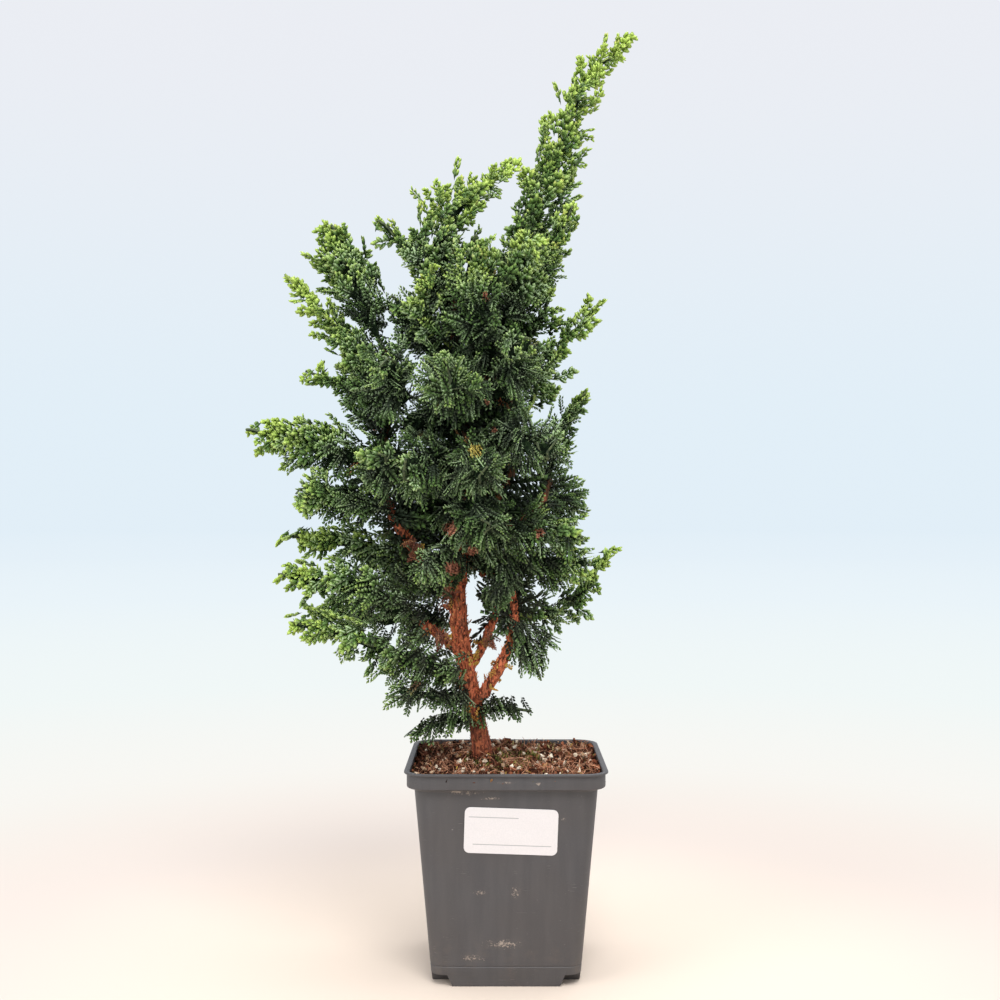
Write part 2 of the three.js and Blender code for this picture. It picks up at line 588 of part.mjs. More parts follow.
    path: [[-23, 3, 250], [-19, -35, 256], [-14, -54, 251], [-11, -62, 242]] },
  { name: 'front_low_left', leaf: GREEN_DEEP, reach: 19,
    path: [[-26, 3, 222], [-33, -22, 227], [-38, -38, 229], [-42, -48, 223]] },
  { name: 'heart_top', leaf: GREEN_DEEP, reach: 18, blunt: true,
    path: [[-29, -4, 338], [-44, -12, 352], [-60, -14, 374]] },
  { name: 'heart_upper', leaf: GREEN_DEEP, reach: 21, blunt: true,
    path: [[-24, 0, 306], [-40, -14, 307], [-56, -25, 305]] },
  { name: 'heart_low', leaf: GREEN_DEEP, reach: 21, blunt: true,
    path: [[-23, 3, 246], [-40, 6, 254], [-60, 6, 258]] },
  { name: 'back_upper', leaf: GREEN_DEEP, reach: 26, blunt: true,
    path: [[-12, 5, 316], [-24, 38, 330], [-34, 60, 342]] },
  { name: 'back_middle', leaf: GREEN_DEEP, reach: 26, blunt: true,
    path: [[-17, 4, 287], [-14, 42, 294], [-10, 68, 298]] },
  { name: 'back_middle_left', leaf: GREEN_DEEP, reach: 25, blunt: true,
    path: [[-20, 3, 266], [-42, 40, 274], [-64, 58, 280]] },
  { name: 'back_low', leaf: GREEN_DEEP, reach: 25, blunt: true,
    path: [[-25, 3, 234], [-18, 38, 238], [-12, 62, 237]] },
  { name: 'back_low_left', leaf: GREEN_DEEP, reach: 23, blunt: true,
    path: [[-27, 2, 214], [-48, 36, 220], [-67, 56, 227]] },
  // Dead twigs, russet to yellow, on the bare inner limbs.
  { name: 'withered_limb_root', leaf: WITHERED, reach: 5,
    path: [[-48, -14, 230], [-50, -24, 233], [-52, -31, 236]] },
  { name: 'withered_trunk_front', leaf: WITHERED, reach: 4,
    path: [[-27, 2, 205], [-31, -7, 208], [-33, -14, 211]] },
  { name: 'withered_stub_end', leaf: WITHERED, reach: 5,
    path: [[-38, -9, 187], [-36, -18, 186], [-38, -24, 183]] },
  { name: 'withered_fork', leaf: WITHERED, reach: 4,
    path: [[-13, 6, 178], [-10, 1, 181], [-8, -3, 184]] },
];

// ---- Assembly -----------------------------------------------------------------------------

const wood = makeWood(0);
const woodClear = makeWood(GAP);
const pot = makePot();
const soil = makeSoil(woodClear);

const sprays = SPRAYS.map((spray, index) => ({ ...spray, seed: 101 + 17 * index, room: roomAlong(spray) }));
const othersThan = (spray) => sprays.filter((other) => other !== spray);

// A spray's leafy twig, cut clear of the wood that it grows from. The squeeze narrows it.
function grow(spray, squeeze) {
  const neighbours = othersThan(spray).flatMap((other) => other.room);
  const pieces = leafyTwig(spray, neighbours, squeeze).subtract(woodClear).decompose();
  const twig = pieces.reduce((a, b) => (a.volume() > b.volume() ? a : b));
  Object.assign(spray, withBox(twig));
}

sprays.forEach((spray) => grow(spray, 1));
for (const spray of sprays) {
  for (let squeeze = 0.94; !isClear(spray.solid, othersThan(spray)); squeeze -= 0.06) {
    if (squeeze < 0.5) throw new Error(`${spray.name} crosses another spray`);
    grow(spray, squeeze);
  }
}

const solids = [wood, pot, soil].map(withBox);
for (const spray of sprays.filter(({ blunt }) => !blunt)) {
  Object.assign(spray, withBox(addTipFan(spray, [...solids, ...othersThan(spray)])));
}

const bonsai = new THREE.Group();
bonsai.add(meshOf('pot', pot, POT_PLASTIC));
bonsai.add(meshOf('label', makeLabel(), PAPER));
bonsai.add(meshOf('soil', soil, PEAT));
bonsai.add(meshOf('trunk', wood, BARK));
for (const { name, solid, leaf } of sprays) bonsai.add(meshOf(`${name}_spray`, solid, leaf));

export default bonsai;
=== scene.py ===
import json
import math
import random

import bmesh
import bpy
import numpy as np
from mathutils import Matrix, Vector, noise
from mathutils.bvhtree import BVHTree


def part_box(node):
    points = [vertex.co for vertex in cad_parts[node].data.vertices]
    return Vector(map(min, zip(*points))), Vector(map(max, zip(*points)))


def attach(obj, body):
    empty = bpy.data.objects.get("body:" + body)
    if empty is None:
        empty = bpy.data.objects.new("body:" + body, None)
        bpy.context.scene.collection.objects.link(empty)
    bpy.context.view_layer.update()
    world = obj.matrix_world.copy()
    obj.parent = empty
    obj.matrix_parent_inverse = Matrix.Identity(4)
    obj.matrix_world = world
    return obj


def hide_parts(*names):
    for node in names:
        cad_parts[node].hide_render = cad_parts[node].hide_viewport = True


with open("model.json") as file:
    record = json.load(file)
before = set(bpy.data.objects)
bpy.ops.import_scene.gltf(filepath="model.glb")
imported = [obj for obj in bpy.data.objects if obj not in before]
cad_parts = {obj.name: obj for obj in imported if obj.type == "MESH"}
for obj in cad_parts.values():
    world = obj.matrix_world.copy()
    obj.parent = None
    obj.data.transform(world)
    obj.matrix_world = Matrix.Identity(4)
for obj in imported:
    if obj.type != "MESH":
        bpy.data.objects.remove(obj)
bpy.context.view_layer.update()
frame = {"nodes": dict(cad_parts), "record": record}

scene = bpy.context.scene
MM = 0.001


# ---- View -----------------------------------------------------------------------------------
# The bonsai stands at arm's length, a little below the eye, so that the soil shows as a
# narrow strip over the pot's lip and the crown is seen level.

CAMERA_RISE = 0.0016  # how far it looks over the level, in radians
camera_data = bpy.data.cameras.new("camera")
camera_data.lens = 49.5
camera_data.sensor_width = 36
camera = bpy.data.objects.new("camera", camera_data)
camera.location = (-3.3 * MM, -782 * MM, 261.2 * MM)
camera.rotation_euler = (math.radians(90) + CAMERA_RISE, 0, 0)
scene.collection.objects.link(camera)
scene.camera = camera
scene.view_settings.view_transform = "Standard"


# ---- Pot ------------------------------------------------------------------------------------
# A square nursery pot, moulded in one piece from dark grey recycled plastic. Its walls taper,
# an upright band and a folded lip stiffen the rim, and it stands on four skirts between
# notched corners, where the drain holes are.

class Wire:
    """A socket in a node tree. Sums and products of wires add the Math nodes they need."""

    def __init__(self, tree, socket):
        self.tree = tree
        self.socket = socket

    def __add__(self, other):
        return self.tree.maths("ADD", self, other)

    def __sub__(self, other):
        return self.tree.maths("SUBTRACT", self, other)

    def __rsub__(self, other):
        return self.tree.maths("SUBTRACT", other, self)

    def __mul__(self, other):
        return self.tree.maths("MULTIPLY", self, other)

    __radd__ = __add__
    __rmul__ = __mul__

    def rise(self, low, high):
        """0 below low, 1 above high, and a smooth slope between them."""
        return self.tree.add("ShaderNodeMapRange", {"interpolation_type": "SMOOTHSTEP"},
                             {"Value": self, "From Min": low, "From Max": high})

    def between(self, first, second):
        """The first colour where this is 0, the second where it is 1."""
        return self.tree.add("ShaderNodeMix", {"data_type": "RGBA"},
                             {0: self, 6: first, 7: second}, out=2)

    def sibling(self, name):
        """Another output of the same node."""
        return Wire(self.tree, self.socket.node.outputs[name])

    def length(self):
        return self.tree.maths("LENGTH", self).sibling("Value")


class Tree:
    """The nodes of a finish, or of a modifier that grows pieces on a surface."""

    def __init__(self, nodes):
        self.node_tree = nodes
        nodes.nodes.clear()

    def add(self, kind, settings=None, sockets=None, out=0):
        node = self.node_tree.nodes.new(kind)
        for name, value in (settings or {}).items():
            if name == "stops":
                self.set_stops(node.color_ramp, value)
            else:
                setattr(node, name, value)
        for key, value in (sockets or {}).items():
            self.join(value, node.inputs[key])
        return Wire(self, node.outputs[out]) if node.outputs else None

    def maths(self, operation, *terms):
        """A Math node, or a Vector Math node where a term is a vector."""
        kind = "ShaderNodeMath"
        if any(isinstance(term, Wire) and term.socket.type == "VECTOR" for term in terms):
            kind = "ShaderNodeVectorMath"
            terms = [(term,) * 3 if isinstance(term, (int, float)) else term for term in terms]
        return self.add(kind, {"operation": operation}, dict(enumerate(terms)))

    def join(self, value, socket):
        if isinstance(value, list):
            for wire in reversed(value):
                self.node_tree.links.new(wire.socket, socket)
        elif isinstance(value, Wire):
            self.node_tree.links.new(value.socket, socket)
        elif socket.type == "RGBA" and len(value) == 3:
            socket.default_value = (*value, 1)
        else:
            socket.default_value = value

    @staticmethod
    def set_stops(ramp, stops):
        while len(ramp.elements) < len(stops):
            ramp.elements.new(1)
        for element, (position, color) in zip(ramp.elements, stops):
            element.position = position
            element.color = (*color, 1)


class Finish(Tree):
    """A material whose colour, roughness and relief are worked out from the place on the piece."""

    def __init__(self, name):
        self.material = bpy.data.materials.new(name)
        self.material.use_nodes = True
        super().__init__(self.material.node_tree)
        self.place = self.add("ShaderNodeTexCoord").sibling("Object")

    def grain(self, size, stretch=(1, 1, 1), detail=3, roughness=0.5):
        """Noise from 0 to 1 whose lumps are about size across, in metres."""
        scaled = self.place * tuple(1 / (size * s) for s in stretch)
        return self.add("ShaderNodeTexNoise", None,
                        {"Vector": scaled, "Scale": 1, "Detail": detail, "Roughness": roughness})

    def attribute(self, name):
        return self.add("ShaderNodeAttribute", {"attribute_name": name}).sibling("Fac")

    def axis(self, letter):
        return self.add("ShaderNodeSeparateXYZ", None, {0: self.place}).sibling(letter)

    def cover(self, color, roughness, relief, depth, specular=0.5):
        """Ends the tree in the surface itself. The relief wire is raised by depth, in metres."""
        bump = self.add("ShaderNodeBump", None, {"Height": relief, "Distance": depth})
        surface = self.add("ShaderNodeBsdfPrincipled", None, {
            "Base Color": color, "Roughness": roughness, "Specular IOR Level": specular, "Normal": bump})
        self.add("ShaderNodeOutputMaterial", None, {"Surface": surface})
        return self.material


def piece_of(name, mesh, *materials):
    """A piece of the scene from a mesh, at the origin."""
    piece = bpy.data.objects.new(name, mesh)
    for material in materials:
        mesh.materials.append(material)
    scene.collection.objects.link(piece)
    return piece


def modify(piece, kind, **settings):
    modifier = piece.modifiers.new(kind.lower(), kind)
    for name, value in settings.items():
        setattr(modifier, name, value)
    return modifier


def settle(piece):
    """The piece with its modifiers' result as its plain mesh."""
    bpy.context.view_layer.update()
    evaluated = piece.evaluated_get(bpy.context.evaluated_depsgraph_get())
    mesh = bpy.data.meshes.new_from_object(evaluated)
    piece.modifiers.clear()
    piece.data = mesh
    return piece


def mesh_of(work, name):
    """The finished work as a mesh."""
    mesh = bpy.data.meshes.new(name)
    work.to_mesh(mesh)
    work.free()
    return mesh


def loft(work, rings, name):
    """A closed shell through rings of corners, with a face at either end."""
    for near, far in zip(rings, rings[1:]):
        for i in range(len(near)):
            j = (i + 1) % len(near)
            work.faces.new((near[i], near[j], far[j], far[i]))
    work.faces.new(list(reversed(rings[0])))
    work.faces.new(rings[-1])
    bmesh.ops.recalc_face_normals(work, faces=work.faces)
    return mesh_of(work, name)


def smooth(mesh, sharp_angle):
    for polygon in mesh.polygons:
        polygon.use_smooth = True
    mesh.set_sharp_from_angle(angle=math.radians(sharp_angle))


POT_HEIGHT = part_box("pot")[1].z / MM
LIP_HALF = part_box("pot")[1].x / MM
LIP_THICK = 1.2
LIP_CORNER = 13
LIP_ROUND = 0.4
BAND_HALF = 53.5
BAND_HEIGHT = 7.5
BAND_FOOT = POT_HEIGHT - LIP_THICK - BAND_HEIGHT
BODY_TOP_HALF = 49.7
FOOT_HALF = 40.3
WALL = 1.4
SKIRT_HALF = 29
NOTCH_HEIGHT = 6.3
NOTCH_SLOPE = 2.8
DRAIN_RADIUS = 2.6
DRAIN_PLACE = 34.6
DRAIN_DEPTH = 6
POT_EDGE = 0.3  # how far the moulded edges are rounded
MOULD_LINE = 11  # height of the shallow groove round the foot
CORNER_STEPS = 10


def body_half(z):
    return FOOT_HALF + (BODY_TOP_HALF - FOOT_HALF) * z / (POT_HEIGHT - BAND_HEIGHT)


def rounded_square(half, radius):
    """The outline of a square with rounded corners, anticlockwise from the right side."""
    points = []
    for corner in range(4):
        middle = Vector((half - radius, half - radius))
        for step in range(CORNER_STEPS + 1):
            angle = math.pi / 2 * step / CORNER_STEPS
            point = middle + radius * Vector((math.cos(angle), math.sin(angle)))
            point.rotate(Matrix.Rotation(math.pi / 2 * corner, 2))
            points.append(point)
    return points


def square_loft(name, profile):
    """A closed shell through rounded squares, each a half width and a height in millimetres."""
    work = bmesh.new()
    rings = []
    for half, height in profile:
        radius = max(half - LIP_HALF + LIP_CORNER, half * 0.2)
        outline = rounded_square(half, radius)
        rings.append([work.verts.new((p.x * MM, p.y * MM, height * MM)) for p in outline])
    return loft(work, rings, name)


def corner_tools(margin, low, high):
    """Blocks over the four corners of the foot, whose inner sides lean out as the skirts do."""
    work = bmesh.new()
    for corner in range(4):
        block = bmesh.ops.create_cube(work, size=1)["verts"]
        for vert in block:
            z = high if vert.co.z > 0 else low
            inner = SKIRT_HALF + NOTCH_SLOPE * z / NOTCH_HEIGHT - margin
            x = LIP_HALF if vert.co.x > 0 else inner
            y = LIP_HALF if vert.co.y > 0 else inner
            vert.co = Vector((x * MM, y * MM, z * MM))
        bmesh.ops.rotate(work, verts=block, matrix=Matrix.Rotation(math.pi / 2 * corner, 3, "Z"))
    return mesh_of(work, "corner_tools")


def drain_tools():
    work = bmesh.new()
    for x, y in ((1, 1), (-1, 1), (-1, -1), (1, -1)):
        place = Matrix.Translation((DRAIN_PLACE * MM * x, DRAIN_PLACE * MM * y, NOTCH_HEIGHT * MM))
        bmesh.ops.create_cone(work, cap_ends=True, segments=20, radius1=DRAIN_RADIUS * MM,
                              radius2=DRAIN_RADIUS * MM, depth=DRAIN_DEPTH * MM, matrix=place)
    return mesh_of(work, "drain_tools")


def cut(piece, *tools):
    """The piece without what the tool meshes hold."""
    for tool in tools:
        cutter = piece_of("cutter", tool)
        modify(piece, "BOOLEAN", operation="DIFFERENCE", solver="EXACT", object=cutter)
        settle(piece)
        bpy.data.objects.remove(cutter)
    return piece


# Dried smears and scuffs on the front wall: the middle's X and Z, and half the size.
SMEARS = [(-21, 106.4, 13, 1.8), (-8, 103.4, 8, 1.2), (-27, 107.2, 4, 1), (5, 52, 4, 4.5),
          (-14, 52, 5, 2), (-2, 23.5, 14, 4), (-18, 16, 9, 3.5), (0, 112.6, 7, 1.3),
          (17, 112, 2, 1.4), (31, 92, 2, 1.5)]
PLASTIC_DARK = (0.064, 0.061, 0.064)
PLASTIC_LIGHT = (0.08, 0.076, 0.077)
PLASTIC_SPECK = (0.1, 0.094, 0.094)
PLASTIC_CLOUD = (0.074, 0.064, 0.06)
SCRATCH = (0.3, 0.27, 0.25)
DUST = (0.24, 0.18, 0.13)
DRIED_SMEAR = (0.5, 0.41, 0.34)


def pot_plastic():
    made = Finish("pot_plastic")
    height = made.axis("Z")
    front = 1 - made.axis("Y").rise(-36 * MM, -30 * MM)
    speckle = made.grain(0.45 * MM, detail=2)
    flow = made.grain(6 * MM, stretch=(1, 1, 10), detail=4)
    cloud = made.grain(45 * MM, detail=2)
    scratches = (made.grain(7 * MM, stretch=(1, 1, 0.03), detail=1).rise(0.7, 0.74)
                 * made.grain(12 * MM, detail=2).rise(0.57, 0.64))
    flecks = made.grain(1.1 * MM, detail=1).rise(0.76, 0.8) * cloud.rise(0.4, 0.7)
    crust = made.grain(1 * MM, stretch=(1.3, 1, 1.1), detail=5, roughness=0.75)
    smears = 0
    for x, z, wide, high in SMEARS:
        off = (made.place - (x * MM, 0, z * MM)) * (1 / (wide * MM), 0, 1 / (high * MM))
        smears = (1 - off.length().rise(0.1, 1.2)) + smears
    marks = (crust + smears * 0.22).rise(0.68, 0.78) * smears.rise(0.05, 0.3) * front
    dust = (made.grain(9 * MM, detail=5, roughness=0.65).rise(0.48, 0.75)
            * (1 - height.rise(2 * MM, 36 * MM)))
    color = flow.rise(0.3, 0.7).between(PLASTIC_DARK, PLASTIC_LIGHT)
    color = (speckle.rise(0.35, 0.75) * 0.3).between(color, PLASTIC_SPECK)
    color = (cloud.rise(0.35, 0.65) * 0.35).between(color, PLASTIC_CLOUD)
    color = (scratches * 0.4 + flecks * 0.5).between(color, SCRATCH)
    color = (dust * 0.2 + smears * front * 0.06).between(color, DUST)
    color = (marks * 0.65).between(color, DRIED_SMEAR)
    roughness = speckle * 0.1 + flow * 0.08 + dust * 0.2 + marks * 0.3 + 0.4
    relief = speckle * 0.4 + flow * 0.3 - scratches * 0.7 + marks
    return made.cover(color, roughness, relief, 0.12 * MM, specular=0.4)


def make_pot():
    groove = [(body_half(MOULD_LINE + dz) - inset, MOULD_LINE + dz)
              for dz, inset in ((-0.5, 0), (-0.2, 0.25), (0.2, 0.25), (0.5, 0))]
    outside = [
        (FOOT_HALF - 0.6, 0),
        (FOOT_HALF, 0.5),
        *groove,
        (body_half(BAND_FOOT - 1.6), BAND_FOOT - 1.6),
        (body_half(BAND_FOOT) + 0.6, BAND_FOOT - 0.6),
        (BAND_HALF - 0.9, BAND_FOOT - 0.1),
        (BAND_HALF - 0.2, BAND_FOOT + 0.3),
        (BAND_HALF, BAND_FOOT + 1),
        (BAND_HALF, POT_HEIGHT - LIP_THICK - 0.5),
        (BAND_HALF + 0.4, POT_HEIGHT - LIP_THICK),
        (LIP_HALF - LIP_ROUND, POT_HEIGHT - LIP_THICK),
        (LIP_HALF - 0.1, POT_HEIGHT - LIP_THICK + 0.2),
        (LIP_HALF, POT_HEIGHT - LIP_THICK / 2),
        (LIP_HALF - 0.1, POT_HEIGHT - 0.2),
        (LIP_HALF - LIP_ROUND, POT_HEIGHT),
    ]
    hollow = [
        (FOOT_HALF - WALL, WALL),
        (body_half(BAND_FOOT) - WALL, BAND_FOOT),
        (BAND_HALF - WALL, BAND_FOOT + 1.6),
        (BAND_HALF - WALL, POT_HEIGHT - 0.5),
        (BAND_HALF - WALL + 0.4, POT_HEIGHT - 0.1),
        (BAND_HALF - WALL + 0.6, POT_HEIGHT + 1),
    ]
    inside = piece_of("hollow", square_loft("hollow", hollow))
    cut(inside, corner_tools(WALL, 0, NOTCH_HEIGHT + WALL))
    pot = piece_of("nursery_pot", square_loft("nursery_pot", outside))
    cut(pot, corner_tools(0, -WALL, NOTCH_HEIGHT), inside.data, drain_tools())
    bpy.data.objects.remove(inside)
    modify(pot, "BEVEL", width=POT_EDGE * MM, segments=2, angle_limit=math.radians(50))
    settle(pot)
    pot.data.materials.clear()
    pot.data.materials.append(pot_plastic())
    smooth(pot.data, 30)
    return pot


pot = make_pot()
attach(pot, "root")
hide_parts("pot")


# ---- Label ----------------------------------------------------------------------------------
# A white paper sticker with rounded corners, stuck a little crooked on the pot's front wall.
# It is blank apart from two thin grey rules to write on.

LABEL_WIDTH = 50
LABEL_HEIGHT = 25
LABEL_THICK = 0.35
LABEL_EDGE = 0.08
LABEL_CORNER = 3
CORNER_SHARES = [step / 6 for step in range(7)]
LABEL_X = 2.6
LABEL_Z = 85.5
LABEL_TURN = -0.034
RULES = ((7.2, -22.5, 4), (-7.6, -20.5, 21.5))  # each rule's height over the middle, and its ends


def label_paper():
    made = Finish("label_paper")
    right = made.axis("X") * (1 / MM) - LABEL_X
    up = made.axis("Z") * (1 / MM) - LABEL_Z - right * LABEL_TURN
    rules = 0
    for height, start, end in RULES:
        along = right.rise(start - 0.1, start + 0.1) * (1 - right.rise(end - 0.1, end + 0.1))
        across = made.maths("ABSOLUTE", up - height)
        rules = along * (1 - across.rise(0.12, 0.26)) + rules
    fibre = made.grain(0.7 * MM, detail=4)
    crease = made.grain(16 * MM, stretch=(1, 1, 0.5), detail=2)
    color = fibre.rise(0.3, 0.7).between((0.7, 0.665, 0.655), (0.74, 0.7, 0.69))
    color = (rules * 0.75).between(color, (0.2, 0.2, 0.21))
    return made.cover(color, 0.42 + fibre * 0.1, fibre * 0.15 + crease, 0.25 * MM)


def make_label():
    work = bmesh.new()
    corners = []
    for quarter in range(4):
        x = (LABEL_WIDTH / 2 - LABEL_CORNER) * (1, -1, -1, 1)[quarter]
        y = (LABEL_HEIGHT / 2 - LABEL_CORNER) * (1, 1, -1, -1)[quarter]
        for share in CORNER_SHARES:
            angle = math.pi / 2 * (quarter + share)
            corners.append((x + LABEL_CORNER * math.cos(angle), y + LABEL_CORNER * math.sin(angle), 0))
    face = work.faces.new([work.verts.new(Vector(corner) * MM) for corner in corners])
    rim = bmesh.ops.extrude_face_region(work, geom=[face])["geom"]
    lifted = [part for part in rim if isinstance(part, bmesh.types.BMVert)]
    bmesh.ops.translate(work, verts=lifted, vec=(0, 0, LABEL_THICK * MM))
    bmesh.ops.recalc_face_normals(work, faces=work.faces)
    lean = math.atan2(body_half(LABEL_Z) - FOOT_HALF, LABEL_Z)
    front = Vector((LABEL_X, -body_half(LABEL_Z) - 0.05, LABEL_Z)) * MM
    work.transform(Matrix.Translation(front) @ Matrix.Rotation(math.pi / 2 + lean, 4, "X")
                   @ Matrix.Rotation(LABEL_TURN, 4, "Z"))
    label = piece_of("paper_label", mesh_of(work, "paper_label"), label_paper())
    modify(label, "BEVEL", width=LABEL_EDGE * MM)
    return settle(label)


label = make_label()
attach(label, "root")
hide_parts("label")


# ---- Soil -----------------------------------------------------------------------------------
# Fibrous red-brown peat, pressed into the pot and crumbly on top. Curly root fibres, bark
# crumbs and grains of perlite lie in it, with moss and dead scale leaves round the trunk.

SOIL_TOP = 113.6
SOIL_HOLLOWS = 108  # no part of the soil's top lies lower
SOIL_HALF = BAND_HALF - WALL - 0.3
SOIL_CORNER = 10.5
SOIL_CELLS = 76
SOIL_GAP = 0.4  # between the pot's wall and the soil's sides, below the band
SOIL_FLOOR = NOTCH_HEIGHT + 2
TRUNK_FOOT = Vector((-13.5, 5.5, SOIL_TOP))
MOSS_OFFSET = Vector((12, -10, 0))  # from the trunk's foot to the middle of the moss
MOSS_REACH = 22
SPROUT_PLACES = ((18, 30), (26, 36), (31, 27), (-38, 30), (6, 40))
SPROUT_REACH = 4
SHED_OFFSET = Vector((7, -4, 0))  # from the trunk's foot to the middle of the shed scales
SHED_REACH = 5
CRUMB_SIDES = 6
PEAT_DARK = (0.014, 0.006, 0.004)
PEAT_LIGHT = (0.13, 0.045, 0.024)
PEAT_THREAD = (0.24, 0.11, 0.06)
PEAT_DAMP = (0.03, 0.015, 0.01)


def soil_height(x, y):
    """The height of the soil over the ground, in millimetres."""
    crumbs = math.sin(0.43 * x + 1.3) * math.cos(0.37 * y) + 0.6 * math.sin(0.9 * x - 0.7 * y)
    away = (x - TRUNK_FOOT.x) ** 2 + (y - TRUNK_FOOT.y) ** 2
    mound = 1.8 * math.exp(-away / 500)
    clods = max(-0.25, noise.noise(Vector((x, y, 5)) * 0.13))
    lumps = noise.fractal(Vector((x, y, 3)) * 0.28, 1, 2, 4)
    behind = 1.6 * max(0, y / SOIL_HALF) ** 2
    return SOIL_TOP - 0.6 + 0.4 * crumbs + mound + behind + 4.6 * clods + 2 * lumps


def round_off(x, y, half, radius):
    """A point of a square grid, moved so that the grid's corners become round."""
    over = [max(abs(v) - (half - radius), 0) for v in (x, y)]
    if not all(over):
        return x, y
    shrink = max(over) / math.hypot(*over)
    return [math.copysign(half - radius + o * shrink, v) for o, v in zip(over, (x, y))]


def soil_mesh():
    work = bmesh.new()
    grid = {}
    for i in range(SOIL_CELLS + 1):
        for j in range(SOIL_CELLS + 1):
            flat = [SOIL_HALF * (2 * k / SOIL_CELLS - 1) for k in (i, j)]
            x, y = round_off(*flat, SOIL_HALF, SOIL_CORNER)
            grid[i, j] = work.verts.new(Vector((x, y, soil_height(x, y))) * MM)
    for i in range(SOIL_CELLS):
        for j in range(SOIL_CELLS):
            work.faces.new((grid[i, j], grid[i + 1, j], grid[i + 1, j + 1], grid[i, j + 1]))
    cells, end = range(SOIL_CELLS), SOIL_CELLS
    rim = ([grid[i, 0] for i in cells] + [grid[end, i] for i in cells]
           + [grid[end - i, end] for i in cells] + [grid[0, end - i] for i in cells])
    last = SOIL_HALF
    for half, height in ((SOIL_HALF, BAND_FOOT + 2.2),
                         (body_half(BAND_FOOT) - WALL - SOIL_GAP, BAND_FOOT),
                         (body_half(SOIL_FLOOR) - WALL - SOIL_GAP, SOIL_FLOOR)):
        below = [work.verts.new((v.co.x * half / last, v.co.y * half / last, height * MM)) for v in rim]
        for i, vert in enumerate(rim):
            work.faces.new((below[i - 1], below[i], vert, rim[i - 1]))
        rim, last = below, half
    work.faces.new(list(reversed(rim)))
    bmesh.ops.recalc_face_normals(work, faces=work.faces)
    mesh = mesh_of(work, "peat_soil")
    smooth(mesh, 80)
    return mesh


def peat():
    made = Finish("peat")
    lumps = made.grain(3.2 * MM, detail=5, roughness=0.65)
    threads = made.grain(1.6 * MM, stretch=(3, 0.6, 1), detail=4)
    damp = made.grain(17 * MM, detail=3)
    color = lumps.rise(0.35, 0.72).between(PEAT_DARK, PEAT_LIGHT)
    color = (threads.rise(0.58, 0.7) * 0.6).between(color, PEAT_THREAD)
    color = (damp.rise(0.52, 0.7) * 0.5).between(color, PEAT_DAMP)
    roughness = 0.98 - lumps * 0.15
    return made.cover(color, roughness, lumps + threads * 0.5, 1.6 * MM, specular=0.05)


def close_ring(work, ring, poles):
    """Faces from a ring of corners to a corner on either side of it."""
    for near, far in zip(ring, ring[1:] + ring[:1]):
        work.faces.new((near, far, poles[0]))
        work.faces.new((far, near, poles[1]))


def crumb(name, rng, length, flat):
    """A small closed lump: a ring between two poles, all a little out of round."""
    work = bmesh.new()
    ring = []
    for side in range(CRUMB_SIDES):
        angle = 2 * math.pi * side / CRUMB_SIDES
        reach = length / 2 * rng.uniform(0.55, 1.2)
        ring.append(work.verts.new((reach * math.cos(angle), 0.65 * reach * math.sin(angle),
                                    length * flat * rng.uniform(-0.25, 0.25))))
    poles = [work.verts.new((length * rng.uniform(-0.2, 0.2), length * rng.uniform(-0.1, 0.1),
                             sign * length * flat * rng.uniform(0.35, 0.65))) for sign in (1, -1)]
    close_ring(work, ring, poles)
    return mesh_of(work, name)


def strand(name, rng, length, thick, curl, steps):
    """A curly three-sided fibre that lies along X and bows up a little in its middle."""
    work = bmesh.new()
    rings = []
    phase = rng.uniform(0, 6)
    for step in range(steps):
        share = step / (steps - 1)
        middle = Vector((length * (share - 0.5), curl * math.sin(3.4 * share + phase),
                         0.5 * curl * math.sin(math.pi * share) * rng.uniform(0.5, 1.3)))
        width = thick * (1 - 0.5 * share)
        rings.append([work.verts.new(middle + Vector((0, math.cos(a), math.sin(a))) * width)
                      for a in (0, 2.1, 4.2)])
    return loft(work, rings, name)


def kit(name, meshes):
    """The shapes that are repeated on a surface, kept out of the scene itself."""
    collection = bpy.data.collections.new(name)
    for mesh in meshes:
        collection.objects.link(bpy.data.objects.new(mesh.name, mesh))
    return collection


def give(piece, tree, **values):
    """Puts a tree on the piece as a modifier, with values for its named inputs."""
    modifier = modify(piece, "NODES", node_group=tree)
    for item in tree.interface.items_tree:
        if item.in_out == "INPUT" and item.name.lower() in values:
            modifier[item.identifier] = values.pop(item.name.lower())
    assert not values, f"{tree.name} has no input for {sorted(values)}"
    return settle(piece)


